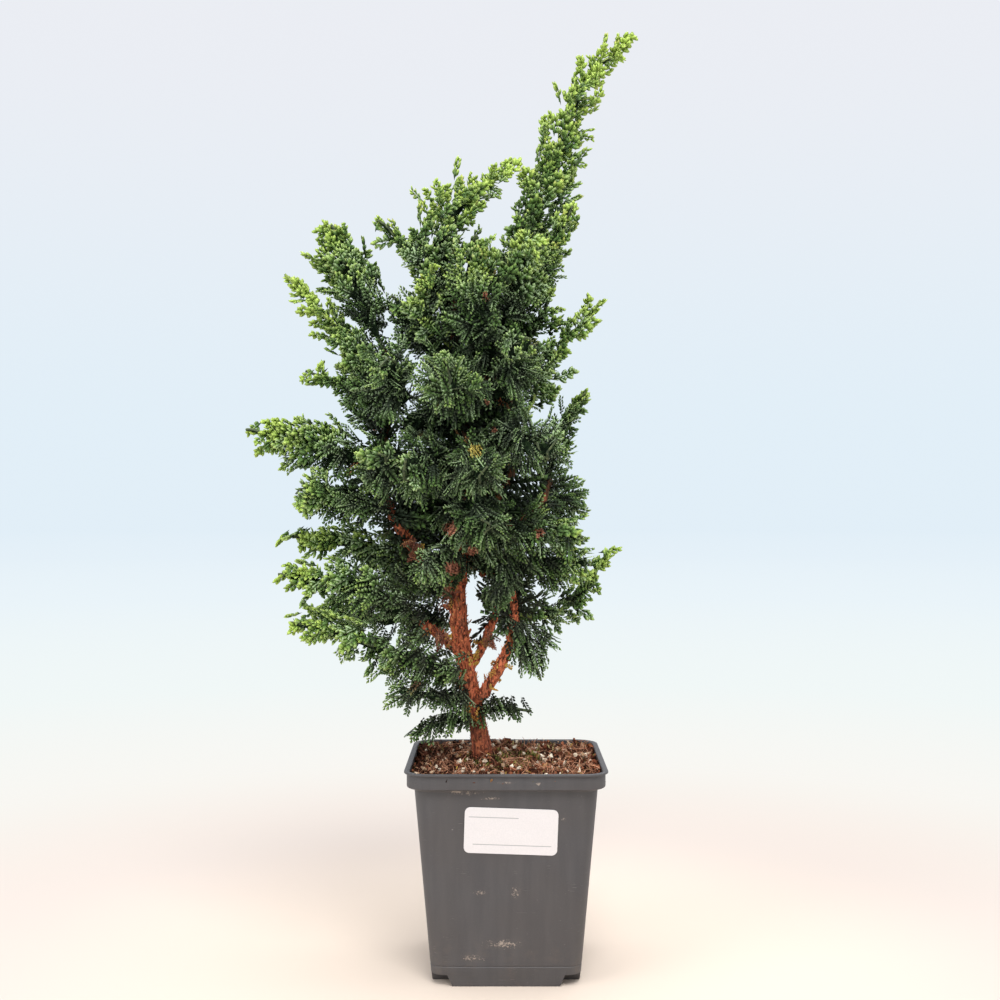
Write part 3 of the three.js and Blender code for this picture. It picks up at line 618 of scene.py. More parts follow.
class GrowthTree(Tree):
    """Its inputs are named."""

    def __init__(self, name, **inputs):
        group = bpy.data.node_groups.new(name, "GeometryNodeTree")
        for way in ("INPUT", "OUTPUT"):
            group.interface.new_socket("Geometry", in_out=way, socket_type="NodeSocketGeometry")
        for input_name, kind in inputs.items():
            group.interface.new_socket(input_name, in_out="INPUT", socket_type=f"NodeSocket{kind}")
        super().__init__(group)
        self.surface = self.add("NodeGroupInput")
        self.given = {input_name: self.surface.sibling(input_name) for input_name in inputs}

    def named(self, name, kind="FLOAT"):
        """An attribute of the surface."""
        return self.add("GeometryNodeInputNamedAttribute", {"data_type": kind}, {"Name": name})

    def randomly(self, low, high, seed, kind="FLOAT"):
        """A number, or a vector, drawn anew for each point."""
        first, out = {"FLOAT": (2, 1), "FLOAT_VECTOR": (0, 0), "INT": (4, 2)}[kind]
        return self.add("FunctionNodeRandomValue", {"data_type": kind},
                        {first: low, first + 1: high, 8: seed}, out=out)

    def any_way(self, reach, seed):
        return self.randomly((-reach,) * 3, (reach,) * 3, seed, "FLOAT_VECTOR")

    def dots(self, density, share):
        """Points on the surface, no nearer to each other than the spacing."""
        return self.add("GeometryNodeDistributePointsOnFaces", {"distribute_method": "POISSON"}, {
            "Mesh": self.surface, "Distance Min": self.given["Spacing"], "Density Max": density,
            "Density Factor": share, "Seed": self.given["Seed"]})

    def turned(self, primary, toward, secondary, facing):
        """The turn that brings one axis to a direction, and a second one near another."""
        return self.add("FunctionNodeAxesToRotation",
                        {"primary_axis": primary, "secondary_axis": secondary}, {0: toward, 1: facing})

    def moved(self, geometry, **places):
        return self.add("GeometryNodeSetPosition", None, {"Geometry": geometry, **places})

    def grown(self, points, kit, turn, size, pick):
        shapes = self.add("GeometryNodeCollectionInfo", None, {
            "Collection": kit, "Separate Children": True, "Reset Children": True})
        return self.add("GeometryNodeInstanceOnPoints", None, {
            "Points": points, "Instance": shapes, "Pick Instance": True, "Instance Index": pick,
            "Rotation": turn, "Scale": size})

    def told(self, shapes, name, value):
        """The shapes, each with a value of its own that its finish reads."""
        return self.add("GeometryNodeStoreNamedAttribute", {"data_type": "FLOAT", "domain": "INSTANCE"},
                        {"Geometry": shapes, "Name": name, "Value": value})

    def plain(self, shapes):
        return self.add("GeometryNodeRealizeInstances", None, {0: shapes})

    def coated(self, geometry, material):
        return self.add("GeometryNodeSetMaterial", None, {"Geometry": geometry, "Material": material})

    def joined(self, *parts):
        return self.add("GeometryNodeJoinGeometry", None, {0: list(parts)})

    def ended(self, geometry):
        self.add("NodeGroupOutput", None, {0: geometry})
        return self.node_tree


STREW_DENSITY = 4e6  # points a square metre, before the spacing thins them


def scatter_tree():
    """They lie with X towards the growth, leant by the lean, and Z off the surface."""
    tree = GrowthTree("strew", Kit="Collection", Finish="Material", Spacing="Float", Share="Float",
                      Smallest="Float", Largest="Float", Growth="Vector", Lean="Float",
                      Sink="Float", Seed="Int")
    given = tree.given
    points = tree.dots(STREW_DENSITY, given["Share"] * tree.named("room"))
    normal = points.sibling("Normal")
    jitter = tree.any_way(1, given["Seed"])
    turn = tree.turned("X", given["Growth"] + jitter * given["Lean"] + normal * 0.02,
                       "Z", normal + jitter * 0.3)
    shapes = tree.grown(
        tree.moved(points, Offset=normal * given["Sink"]), given["Kit"], turn,
        tree.randomly(given["Smallest"], given["Largest"], given["Seed"]),
        tree.randomly(0, 99, given["Seed"], "INT"))
    shapes = tree.told(shapes, "tint", tree.randomly(0.0, 1.0, 5))
    return tree.ended(tree.coated(tree.plain(shapes), given["Finish"]))


STREW = scatter_tree()


def strew(name, surface_mesh, room, lean=1.0, **values):
    """A piece of strewn shapes on a mesh, thickest where room(point, normal) is 1."""
    carrier = piece_of(name, surface_mesh.copy())
    share = carrier.data.attributes.new("room", "FLOAT", "POINT")
    share.data.foreach_set("value", [room(v.co / MM, v.normal) for v in carrier.data.vertices])
    return give(carrier, STREW, lean=lean, **values)


def crumbs_finish(name, dark, light):
    made = Finish(name)
    tint = made.attribute("tint")
    rough = made.grain(0.6 * MM, detail=3)
    damp = made.grain(7 * MM, detail=3).rise(0.4, 0.62)
    left = 1 - made.axis("X").rise(-35 * MM, 5 * MM)
    pale = (tint * 0.6 + rough * 0.3 + damp * 0.45 - left * 0.14 - 0.2).rise(0.05, 0.85)
    return made.cover(pale.between(dark, light), 0.9, rough, 0.3 * MM, specular=0.1)


def near_trunk(point):
    return math.hypot(point.x - TRUNK_FOOT.x, point.y - TRUNK_FOOT.y)


soil_surface = soil_mesh()
soil = piece_of("peat_soil", soil_surface, peat())
rng = random.Random(11)
lumps_kit = kit("lumps", [crumb(f"lump_{i}", rng, length=1 * MM, flat=0.7) for i in range(5)])
strands_kit = kit("strands", [strand(f"strand_{i}", rng, length=6 * MM, thick=0.2 * MM,
                                     curl=1.3 * MM, steps=4) for i in range(6)])
tufts_kit = kit("tufts", [strand(f"tuft_{i}", rng, length=1 * MM, thick=0.13 * MM,
                                 curl=0.14 * MM, steps=3) for i in range(4)])


def on_top(point, normal):
    return 1.0 if normal.z > 0.3 and point.z > SOIL_HOLLOWS else 0.0


def off_the_lip(point, normal):
    return on_top(point, normal) * (1 if max(abs(point.x), abs(point.y)) < SOIL_HALF - 3 else 0)


def tangle_share(point, normal):
    """Root fibres lie in loose mats, with dark peat between them."""
    matted = noise.fractal(point * 0.11, 1, 2, 2) > -0.08
    return off_the_lip(point, normal) * (1 if matted else 0.12)


def moss_share(point, normal):
    """Moss grows in small cushions to the right of the trunk, and hardly elsewhere."""
    cushions = noise.noise(point * 0.16) > 0.02
    beside_trunk = near_trunk(point - MOSS_OFFSET) < MOSS_REACH
    return on_top(point, normal) * (1 if cushions and beside_trunk else 0.02)


def sprout_share(point, normal):
    """A few seedlings and dry stalks stand near the back of the pot."""
    near = min(math.hypot(point.x - x, point.y - y) for x, y in SPROUT_PLACES)
    return on_top(point, normal) * (1 if near < SPROUT_REACH else 0.0)


# Each kind of loose bit: where it lies, its shapes, its dark and light colour, and its strewing.
SOIL_BITS = {
    "soil_clods": (on_top, lumps_kit, (0.012, 0.004, 0.002), (0.16, 0.048, 0.024), dict(
        spacing=3.6 * MM, share=0.6, smallest=3, largest=6.5, sink=-0.4 * MM, seed=2)),
    "soil_crumbs": (on_top, lumps_kit, (0.02, 0.006, 0.003), (0.34, 0.12, 0.06), dict(
        spacing=1.8 * MM, share=0.6, smallest=0.9, largest=3, sink=0.9 * MM, seed=3)),
    "soil_fibres": (tangle_share, strands_kit, (0.025, 0.007, 0.004), (0.68, 0.34, 0.2), dict(
        spacing=1.7 * MM, share=0.9, smallest=0.5, largest=1.6, growth=(0, 0, 0.4),
        sink=1.8 * MM, seed=8)),
    "pale_chips": (off_the_lip, lumps_kit, (0.34, 0.2, 0.11), (0.95, 0.84, 0.66), dict(
        spacing=6.4 * MM, share=0.8, smallest=0.8, largest=4.6, growth=(0, 0, 0.2),
        sink=2.6 * MM, seed=21)),
    "moss": (moss_share, tufts_kit, (0.05, 0.055, 0.014), (0.36, 0.33, 0.09), dict(
        spacing=0.6 * MM, share=0.7, smallest=1.4, largest=3.2, growth=(0, 0, 1), lean=0.8,
        sink=0.9 * MM, seed=34)),
    "sprouts": (sprout_share, tufts_kit, (0.2, 0.12, 0.05), (0.5, 0.42, 0.2), dict(
        spacing=2.4 * MM, share=0.5, smallest=4, largest=10, growth=(0, 0, 1), lean=0.5, seed=13)),
}
soil_bits = []
for name, (room, shapes, dark, light, how) in SOIL_BITS.items():
    finish = crumbs_finish(name.removeprefix("soil_"), dark, light)
    soil_bits.append(strew(name, soil_surface, room, kit=shapes, finish=finish, **how))
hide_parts("soil")
for bit in [soil, *soil_bits]:
    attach(bit, "root")


# ---- Trunk and limbs ------------------------------------------------------------------------
# One piece of living wood, from the root flare to the leader, with bare limbs and dead stubs.
# Its red-brown bark peels in short pointed scales, orange where they have just come away.

BARK_CELL = 0.9
BARK_DEPTH = 0.45
BARK_SWELL = 0.9  # what the smoothing takes off the limbs, and their loose bark
BARK_FURROW = (0.08, 0.024, 0.014)
BARK_RIDGE = (0.52, 0.14, 0.065)
BARK_SUNLIT = (0.92, 0.26, 0.12)
BARK_GREY = (0.25, 0.13, 0.09)
BARK_RAW = (0.68, 0.22, 0.08)
BARK_CROWN_SHADE = (0.05, 0.035, 0.018)
BARK_FLAKES_FOOT_DARK = (0.06, 0.02, 0.012)


def merged_copy(node):
    """A node's mesh as a closed one whose faces share their corners."""
    work = bmesh.new()
    work.from_mesh(frame["nodes"][node].data)
    bmesh.ops.remove_doubles(work, verts=work.verts, dist=0.001 * MM)
    mesh = mesh_of(work, node)
    mesh.materials.clear()
    return mesh


def bark():
    made = Finish("bark")
    height = made.axis("Z")
    strips = made.grain(1.5 * MM, stretch=(1, 1, 3.5), detail=5, roughness=0.65)
    patches = made.grain(8 * MM, stretch=(1, 1, 2), detail=3)
    fine = made.grain(0.5 * MM, stretch=(1, 1, 2.5), detail=3)
    raw = made.grain(4.5 * MM, stretch=(1, 1, 2), detail=3).rise(0.5, 0.66)
    color = strips.rise(0.35, 0.68).between(BARK_FURROW, BARK_RIDGE)
    color = (height.rise(135 * MM, 160 * MM) * strips.rise(0.4, 0.66)).between(color, BARK_SUNLIT)
    color = (patches.rise(0.55, 0.75) * 0.35).between(color, BARK_GREY)
    color = (raw * strips.rise(0.45, 0.7) * 0.8).between(color, BARK_RAW)
    # Painted shade: the wood darkens high up, inside the crown, where the sprays shade it.
    color = (height.rise(240 * MM, 275 * MM) * 0.85).between(color, BARK_CROWN_SHADE)
    return made.cover(color, 0.95 - fine * 0.15, strips + fine * 0.3, 0.9 * MM, specular=0.25)


def flake_bark():
    made = Finish("bark_flakes")
    tint = made.attribute("tint")
    fine = made.grain(0.6 * MM, detail=3)
    color = (tint + fine * 0.4 - 0.2).rise(0, 0.9).between((0.09, 0.02, 0.011), (0.92, 0.24, 0.11))
    color = (tint.rise(0.86, 1) * 0.85).between(color, (0.76, 0.38, 0.14))
    # The flakes darken towards the trunk's foot: fully below 120 mm over the ground, not at all above
    # 150 mm.
    damp = 1 - made.axis("Z").rise(120 * MM, 150 * MM)
    color = (damp * 0.75).between(color, BARK_FLAKES_FOOT_DARK)
    return made.cover(color, 0.9, fine, 0.3 * MM, specular=0.25)


def flake(name, rng):
    """A pointed bark scale that stands off its root end."""
    long, wide, curl = rng.uniform(0.8, 1.2), rng.uniform(0.25, 0.42), rng.uniform(0.1, 0.3)
    work = bmesh.new()
    girdle = [work.verts.new(co) for co in ((0, 0, 0), (0.45 * long, wide, curl * 0.5),
                                            (long, 0, curl), (0.4 * long, -wide, curl * 0.5))]
    close_ring(work, girdle, [work.verts.new((0.45 * long, 0, 0.5 * curl + lift))
                              for lift in (0.12, -0.08)])
    bmesh.ops.recalc_face_normals(work, faces=work.faces)
    bmesh.ops.scale(work, verts=work.verts, vec=(MM, MM, MM))
    return mesh_of(work, name)


def make_wood():
    wood = piece_of("trunk_and_limbs", merged_copy("trunk"))
    modify(wood, "REMESH", mode="VOXEL", voxel_size=BARK_CELL * MM)
    modify(wood, "SMOOTH", factor=0.5, iterations=2)
    settle(wood)
    furrowed = []
    for vert in wood.data.vertices:
        place = vert.co / MM
        strip = noise.fractal(Vector((place.x * 0.5, place.y * 0.5, place.z * 0.14)), 1, 2, 3)
        knots = noise.noise(place * 0.16)
        swell = BARK_SWELL * min(1, max(0, (place.z - 125) / 25))
        depth = swell + BARK_DEPTH * strip + 0.5 * max(knots, -0.4)
        furrowed.extend(vert.co + vert.normal * depth * MM)
    wood.data.vertices.foreach_set("co", furrowed)
    smooth(wood.data, 70)
    wood.data.materials.append(bark())
    return wood


wood = make_wood()
flakes = kit("flakes", [flake(f"flake_{i}", rng) for i in range(5)])


def on_bare_wood(point, normal):
    """Thickest on the trunk's bare part, and gone where the crown hides the wood."""
    return min(1.0, max(0.0, (255 - point.z) / 30)) if point.z > SOIL_TOP - 2 else 0.0


bark_flakes = strew(
    "bark_flakes", wood.data, on_bare_wood, kit=flakes, spacing=1 * MM, share=0.5,
    smallest=0.9, largest=2.6, growth=(0, 0, 1), lean=0.55, sink=-0.15 * MM, seed=5, finish=flake_bark())
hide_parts("trunk")
for part in (wood, bark_flakes):
    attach(part, "root")


# ---- Foliage --------------------------------------------------------------------------------
# Each spray grows from a thin green twig. Side twigs carry flat fans of blunt scale leaves,
# which lie over each other like small shells: yellow-green at the new tips, dark bluish green
# inside, with pale lines of bloom along the ridges underneath. Painted light and shade lie over
# these colours: lighter where the sky is open and on upper sides, darker deep in the crown, a
# painted highlight on the shoots' tips, and a near-black core of painted shade inside each spray.

FAN_LENGTH = 13
SHOOT_WIDTH = 2.1
SHOOT = ((0.36, 1), (0.78, 0.8))  # how wide a shoot is at two shares of its length
SCALE = ((0.6, 1),)
SIDE_SHOOTS = (0.3, 0.36, 0.38, 0.35, 0.3, 0.24)  # the length of each, as a share of the fan's
COMB_SCALES = 14
# Each kind of spray: how far apart its fans grow, their sizes, and how full its dark heart of painted
# shade is.
SPRAY_KINDS = {
    "leaf_deep": dict(spacing=4 * MM, smallest=0.75, largest=1.2, heart=0.75),
    "leaf_mid": dict(spacing=4.5 * MM, smallest=0.8, largest=1.25, heart=0.6),
    "leaf_bright": dict(spacing=6 * MM, smallest=0.8, largest=1.25, heart=0.2),
    "leaf_withered": dict(spacing=3 * MM, smallest=0.5, largest=0.9, heart=0.2),
}
# Each kind's base for young, partly the real age of its leaves and partly painted shade: lowest for the
# sprays deep in the crown, highest for the bright outer ones.
AGES_AND_SHADE = {"leaf_deep": 0.03, "leaf_mid": 0.16, "leaf_bright": 0.34, "leaf_withered": 0}
OVER_SHARE = 0.3  # the share of fans that show their pale underside
FAN_SUNK = 0.62  # the share of a fan's length that lies inside its spray's surface
FAN_PROUD = 7  # how far fans stand out from their neighbours
FAN_DROOP = np.array([0, 0, 0.55])
TWIG_STEP = 4
TWIG_BLUR = 5  # how far along the spray its leaves still draw a point of the twig to them
TWIG_THICK = (1.25, 0.7)  # a twig's radius at its root and at its tip
SIDE_TWIG_THICK = (0.5, 0.2)
LOBE_REACH = 5  # how far from the twig a lobe is that has a side twig of its own
CROWN_HEART = np.array([-15, 0, 250]) * MM
CROWN_RISE, CROWN_RIGHT, CROWN_LEFT = 0.2, 0.12, 0.09  # from the heart to the light, in metres
CROWN_FOOT = 0.18
CROWN_DEPTH = 0.3  # over this height above the foot, the light from the side grows by one
SKY_RAYS = 40
SKY_REACH = 55


class Fan:
    """A flat fan of scale-clad shoots in the making. X is the way it grows, Z its upper side."""

    def __init__(self, rng):
        self.rng = rng
        self.work = bmesh.new()
        layers = self.work.verts.layers.float
        self.tip, self.ridge, self.rim = [layers.new(name) for name in ("tip", "ridge", "rim")]
        self.cup = rng.uniform(-0.25, 0.5)
        self.droop = rng.uniform(-0.12, 0.3)

    def grow(self, root, angle, length, width, outline=SHOOT):
        """A blunt shoot, flat above and ridged underneath, as one closed body. Returns its end."""
        angle += self.rng.uniform(-0.12, 0.12)
        along = Vector((math.cos(angle), math.sin(angle), self.rng.uniform(-0.15, 0.22)))
        across = Vector((-along.y, along.x, self.rng.uniform(-0.3, 0.3)))
        sections = [[self.point(root, 0, 0)]]
        for share, wide in outline:
            middle = root + along * length * share
            half = across * width * wide / 2
            lift = Vector((0, 0, width * wide * 0.2))
            sections.append([self.point(middle - half + lift, share, 0.1),
                             self.point(middle + half + lift, share, 0.1),
                             self.point(middle - lift * 1.6, share, 1)])
        sections.append([self.point(root + along * length, 1, 0.4)])
        for near, far in zip(sections, sections[1:]):
            for side in range(3):
                other = (side + 1) % 3
                corners = [near[side % len(near)], near[other % len(near)],
                           far[other % len(far)], far[side % len(far)]]
                self.work.faces.new(list(dict.fromkeys(corners)))
        return root + along * length

    def point(self, place, tip, ridge):
        bend = self.cup * place.y ** 2 - self.droop * place.x ** 2
        vert = self.work.verts.new((place.x, place.y, place.z + bend / FAN_LENGTH))
        vert[self.tip] = tip
        vert[self.ridge] = ridge
        vert[self.rim] = min(1, math.hypot(place.x, 2 * place.y) / FAN_LENGTH)
        return vert

    def mesh(self, name):
        bmesh.ops.recalc_face_normals(self.work, faces=self.work.faces)
        bmesh.ops.scale(self.work, verts=self.work.verts, vec=(MM, MM, MM))
        mesh = mesh_of(self.work, name)
        for polygon in mesh.polygons:
            polygon.use_smooth = True
        return mesh


def young_fan(name, rng):
    """A spine with blunt side shoots by turns, most of them forked."""
    fan = Fan(rng)
    neck = fan.grow(Vector((0, 0, 0)), 0, 0.64 * FAN_LENGTH, 0.75 * SHOOT_WIDTH)
    fan.grow(neck - Vector((0.08 * FAN_LENGTH, 0, 0)), 0, 0.42 * FAN_LENGTH, SHOOT_WIDTH)
    for i, share in enumerate(SIDE_SHOOTS):
        side = 1 if i % 2 else -1
        reach = FAN_LENGTH * share * rng.uniform(0.8, 1.2)
        root = Vector((FAN_LENGTH * (0.14 + 0.125 * i), 0, 0))
        turn = side * (0.95 - 0.06 * i)
        end = fan.grow(root, turn, reach, SHOOT_WIDTH * rng.uniform(0.85, 1.15))
        if i < len(SIDE_SHOOTS) - 1:
            fan.grow(root.lerp(end, 0.4), turn - side * 0.85, 0.55 * reach, SHOOT_WIDTH, SCALE)
    return fan.mesh(name)


def old_fan(name, rng):
    """A spine with a comb of blunt scales along both sides."""
    fan = Fan(rng)
    fan.grow(Vector((0, 0, 0)), 0, FAN_LENGTH, 0.5 * SHOOT_WIDTH)
    for i in range(COMB_SCALES):
        share = 0.06 + 0.064 * i
        reach = FAN_LENGTH * (0.15 + 0.13 * math.sin(math.pi * share)) * rng.uniform(0.7, 1.2)
        side = 1 if i % 2 else -1
        fan.grow(Vector((FAN_LENGTH * share, 0, 0)), side * (1 - 0.35 * share), reach,
                 0.68 * SHOOT_WIDTH, SCALE)
    return fan.mesh(name)


FAN_DENSITY = 1e5  # points a square metre, before the spacing thins them
CLUSTER_SCALE = 65.0  # how many clusters of fans stand proud along a metre
STALK_RADIUS = 0.4
YOUNG_FANS = 4


def foliage_tree():
    """Grows fans on a spray's surface, each on a stalk from the nearest twig."""
    tree = GrowthTree("foliage", Twigs="Object", Fans="Collection", Leaf="Material", Twig="Material",
                      Shade="Material", Spacing="Float", Smallest="Float", Largest="Float",
                      Turned="Float", Heart="Float", Seed="Int")
    given, seed = tree.given, tree.given["Seed"]
    sky, young, clear = (tree.named(name) for name in ("sky", "young", "clear"))
    outward, foot = (tree.named(name, "FLOAT_VECTOR") for name in ("facing", "foot"))
    place = tree.add("GeometryNodeInputPosition")

    points = tree.dots(FAN_DENSITY, sky.rise(-0.25, 0.35) * clear)
    growth = tree.maths("NORMALIZE", tree.named("growth", "FLOAT_VECTOR") + tree.any_way(0.38, seed))
    facing = outward + tree.any_way(0.6, seed + 1)
    proud = tree.add("ShaderNodeTexNoise", None, {
        "Vector": place, "Scale": CLUSTER_SCALE, "Detail": 1.0}).rise(0.36, 0.64)
    over = tree.maths("GREATER_THAN", tree.randomly(0.0, 1.0, seed + 2), given["Turned"])
    size = tree.randomly(given["Smallest"], given["Largest"], seed + 3)
    rooted = tree.moved(points, Offset=growth * (size * (-FAN_SUNK * FAN_LENGTH * MM))
                        + outward * (proud * (FAN_PROUD * MM) - 0.6 * FAN_PROUD * MM))
    aged = tree.maths("LESS_THAN", young + tree.randomly(-0.1, 0.1, seed + 6), 0.3)
    pick = aged * YOUNG_FANS + tree.randomly(0, YOUNG_FANS - 1, seed + 4, "INT")
    fans = tree.grown(rooted, given["Fans"], tree.turned("X", growth, "Z", facing * (over * 2 - 1)),
                      size, pick)
    for name, value in (("young", young), ("sky", sky), ("proud", proud),
                        ("tint", tree.randomly(0.0, 1.0, seed + 5))):
        fans = tree.told(fans, name, value)
    fans = tree.coated(tree.plain(fans), given["Leaf"])
    # Painted shade: a shrunken copy of the spray's surface, in the near-black shade finish, fills the
    # spray's heart.
    fullness = given["Heart"] * (1 - sky.rise(0.25, 0.75) * 0.6) * clear
    heart = tree.coated(tree.moved(tree.surface, Position=foot + (place - foot) * fullness),
                        given["Shade"])

    twigs = tree.add("GeometryNodeObjectInfo", None, {"Object": given["Twigs"]}).sibling("Geometry")
    bud = tree.add("GeometryNodeProximity", {"target_element": "EDGES"},
                   {0: twigs, "Sample Position": place})
    stalk = place - bud
    stalks = tree.add("GeometryNodeInstanceOnPoints", None, {
        "Points": tree.moved(rooted, Position=bud),
        "Instance": tree.add("GeometryNodeMeshCone", {"fill_type": "NGON"}, {
            "Vertices": 3, "Radius Top": 0, "Radius Bottom": 1, "Depth": 1}),
        "Rotation": tree.turned("Z", stalk, "X", (0, 0, 1)),
        "Scale": tree.add("ShaderNodeCombineXYZ", None, {
            0: STALK_RADIUS * MM, 1: STALK_RADIUS * MM, 2: stalk.length()})})
    tubes = tree.add("GeometryNodeCurveToMesh", None, {
        "Curve": tree.add("GeometryNodeMeshToCurve", None, {"Mesh": twigs}),
        "Fill Caps": True, "Scale": tree.named("thick"),
        "Profile Curve": tree.add("GeometryNodeCurvePrimitiveCircle", None,
                                  {"Resolution": 4, "Radius": 1})})
    green = tree.coated(tree.joined(tree.plain(stalks), tubes), given["Twig"])
    return tree.ended(tree.joined(fans, green, heart))


LEAF_DARKEST = (0.014, 0.027, 0.01)
LEAF_OLD = (0.105, 0.205, 0.04)
LEAF_YOUNG = (0.4, 0.57, 0.08)
LEAF_TIP = (0.62, 0.73, 0.2)
LEAF_BRONZED = (0.62, 0.4, 0.08)
LEAF_MOTTLED = (0.17, 0.25, 0.12)
LEAF_STEP = (0.012, 0.025, 0.01)  # the dark line where one pair of scales meets the next
LEAF_BLOOM_AND_HIGHLIGHT = (0.52, 0.64, 0.4)
LEAF_SHADED = (0.02, 0.014, 0.008)
LEAF_RUSSET = (0.3, 0.09, 0.03)
YELLOW = (0.75, 0.6, 0.15)
RUSSET = (0.4, 0.15, 0.085)
# Where leaves have died on the crown's front: X, Z and radius of each place, and their colour.
DEAD_LEAVES = [(-16, 288, 3.4, YELLOW), (-30.5, 247, 4, RUSSET), (-18, 234, 3.6, RUSSET),
               (-28.8, 225.5, 4.2, RUSSET), (18.4, 244.5, 2.6, RUSSET), (-7, 300, 1.6, RUSSET),
               (-10, 314, 1.4, RUSSET), (-11, 371, 1.5, RUSSET)]


def leaf_finish(name):
    """Old leaves to new ones by the young attribute, which also carries painted light and shade;
    brightest along each fan's rim. Pairs of scales show as steps along each shoot."""
    made = Finish(name)
    young, tip, tint, proud = (made.attribute(n) for n in ("young", "tip", "tint", "proud"))
    ridge, rim, sky = (made.attribute(n) for n in ("ridge", "rim", "sky"))
    across, depth, height = (made.axis(letter) for letter in "XYZ")
    mottle = made.grain(1.1 * MM, detail=2)
    patch = made.grain(22 * MM, detail=2)
    steps = made.maths("FRACT", tip * 3.5)
    # Painted light and shade join the leaves' own age and tone here: young carries them, and fans that
    # stand proud come out lighter.
    age_and_light = young * 0.8 + rim * 0.55 + tip * 0.2 + tint * 0.16 + patch * 0.34 + proud * 0.14 - 0.73
    color = age_and_light.rise(-0.05, 0.4).between(LEAF_DARKEST, LEAF_OLD)
    color = age_and_light.rise(0.3, 0.8).between(color, LEAF_YOUNG)
    color = (tip.rise(0.4, 1) * age_and_light.rise(0.3, 0.8) * 0.5).between(color, LEAF_TIP)
    bronzed = made.grain(9 * MM, detail=1).rise(0.56, 0.66) * tip.rise(0.5, 1) * age_and_light.rise(0.35, 0.7)
    color = (bronzed * height.rise(370 * MM, 395 * MM) * 0.45).between(color, LEAF_BRONZED)
    color = (mottle.rise(0.5, 0.8) * 0.3).between(color, LEAF_MOTTLED)
    color = ((1 - steps.rise(0, 0.4)) * 0.35).between(color, LEAF_STEP)
    # Real bloom along the ridges underneath, with a painted highlight on the shoots' tips, on the old
    # leaves of fans that stand proud.
    bloom_and_highlight = ridge.rise(0.6, 0.95) * 0.65 + tip.rise(0.5, 1) * 0.5
    color = (bloom_and_highlight * (1 - age_and_light.rise(0.4, 0.8)) * proud.rise(0, 0.5)).between(color, LEAF_BLOOM_AND_HIGHLIGHT)
    shaded = (1 - height.rise(195 * MM, 255 * MM)) * (1 - age_and_light.rise(0.1, 0.35))
    color = (shaded * across.rise(-90 * MM, -55 * MM) * 0.4).between(color, LEAF_SHADED)
    color = (tint.rise(0.976, 0.983) * (1 - sky.rise(0.3, 0.55))).between(color, LEAF_RUSSET)
    ragged = made.grain(2.5 * MM, detail=2) * (7 * MM) - 3.5 * MM
    front = 1 - depth.rise(-24 * MM, -18 * MM)
    for x, z, radius, dead in DEAD_LEAVES:
        far = ((made.place - (x * MM, 0, z * MM)) * (1, 0, 1)).length() + ragged
        color = (front * (1 - far.rise(radius * MM - 0.5 * MM, radius * MM))).between(color, dead)
    return made.cover(color, 0.5 + mottle * 0.15, mottle * 0.6 + steps, 0.3 * MM, specular=0.4)


def twig_finish(name, dark, light):
    made = Finish(name)
    rough = made.grain(1.4 * MM, stretch=(1, 1, 2), detail=3)
    return made.cover(rough.rise(0.35, 0.7).between(dark, light), 0.75, rough, 0.3 * MM)


def inner_shade():
    """Painted shade: a near-black core in the heart of a spray, between its fans, standing in for the
    shade there.
    """
    made = Finish("inner_shade")
    lumps = made.grain(2.4 * MM, detail=4)
    color = lumps.rise(0.4, 0.7).between((0.005, 0.011, 0.005), (0.026, 0.048, 0.018))
    return made.cover(color, 0.95, lumps, 1.5 * MM, specular=0.1)


def surface_of(*nodes):
    """The surface of some nodes, to look for nearest points on and to cast rays at."""
    work = bmesh.new()
    for node in nodes:
        work.from_mesh(frame["nodes"][node].data)
    surface = BVHTree.FromBMesh(work)
    work.free()
    return surface


def twig_line(points, wood_surface):
    """The twig inside a spray, as points from the wood to the spray's tip."""
    gaps = [wood_surface.find_nearest(Vector(p))[3] for p in points]
    root = points[np.argsort(gaps)[:5]].mean(axis=0)
    tip = points[np.argsort(np.linalg.norm(points - root, axis=1))[-6:]].mean(axis=0)
    long = np.linalg.norm(tip - root)
    chord = (tip - root) / long
    steps = max(5, round(long / (TWIG_STEP * MM)))
    heights = (points - root) @ chord
    line = [root]
    for height in np.linspace(0, long, steps + 1)[1:]:
        weight = np.exp(-((heights - height) / (TWIG_BLUR * MM)) ** 2) + 1e-9
        middle = (points * weight[:, None]).sum(axis=0) / weight.sum()
        line.append(middle + chord * (height - (middle - root) @ chord))
    return np.array(line)


def sky_directions():
    """Directions spread evenly over a sphere."""
    turn = math.pi * (3 - math.sqrt(5))
    directions = []
    for i in range(SKY_RAYS):
        height = 1 - 2 * (i + 0.5) / SKY_RAYS
        reach = math.sqrt(1 - height * height)
        directions.append(Vector((reach * math.cos(turn * i), reach * math.sin(turn * i), height)))
    return directions


SKY = sky_directions()


def sky_share(place, normal, crown):
    """The share of the directions off a surface in which the crown leaves the sky open."""
    seen = [d for d in SKY if d.dot(normal) > 0.1]
    start = place + normal * 1.5 * MM
    return sum(crown.ray_cast(start, d, SKY_REACH * MM)[0] is None for d in seen) / len(seen)


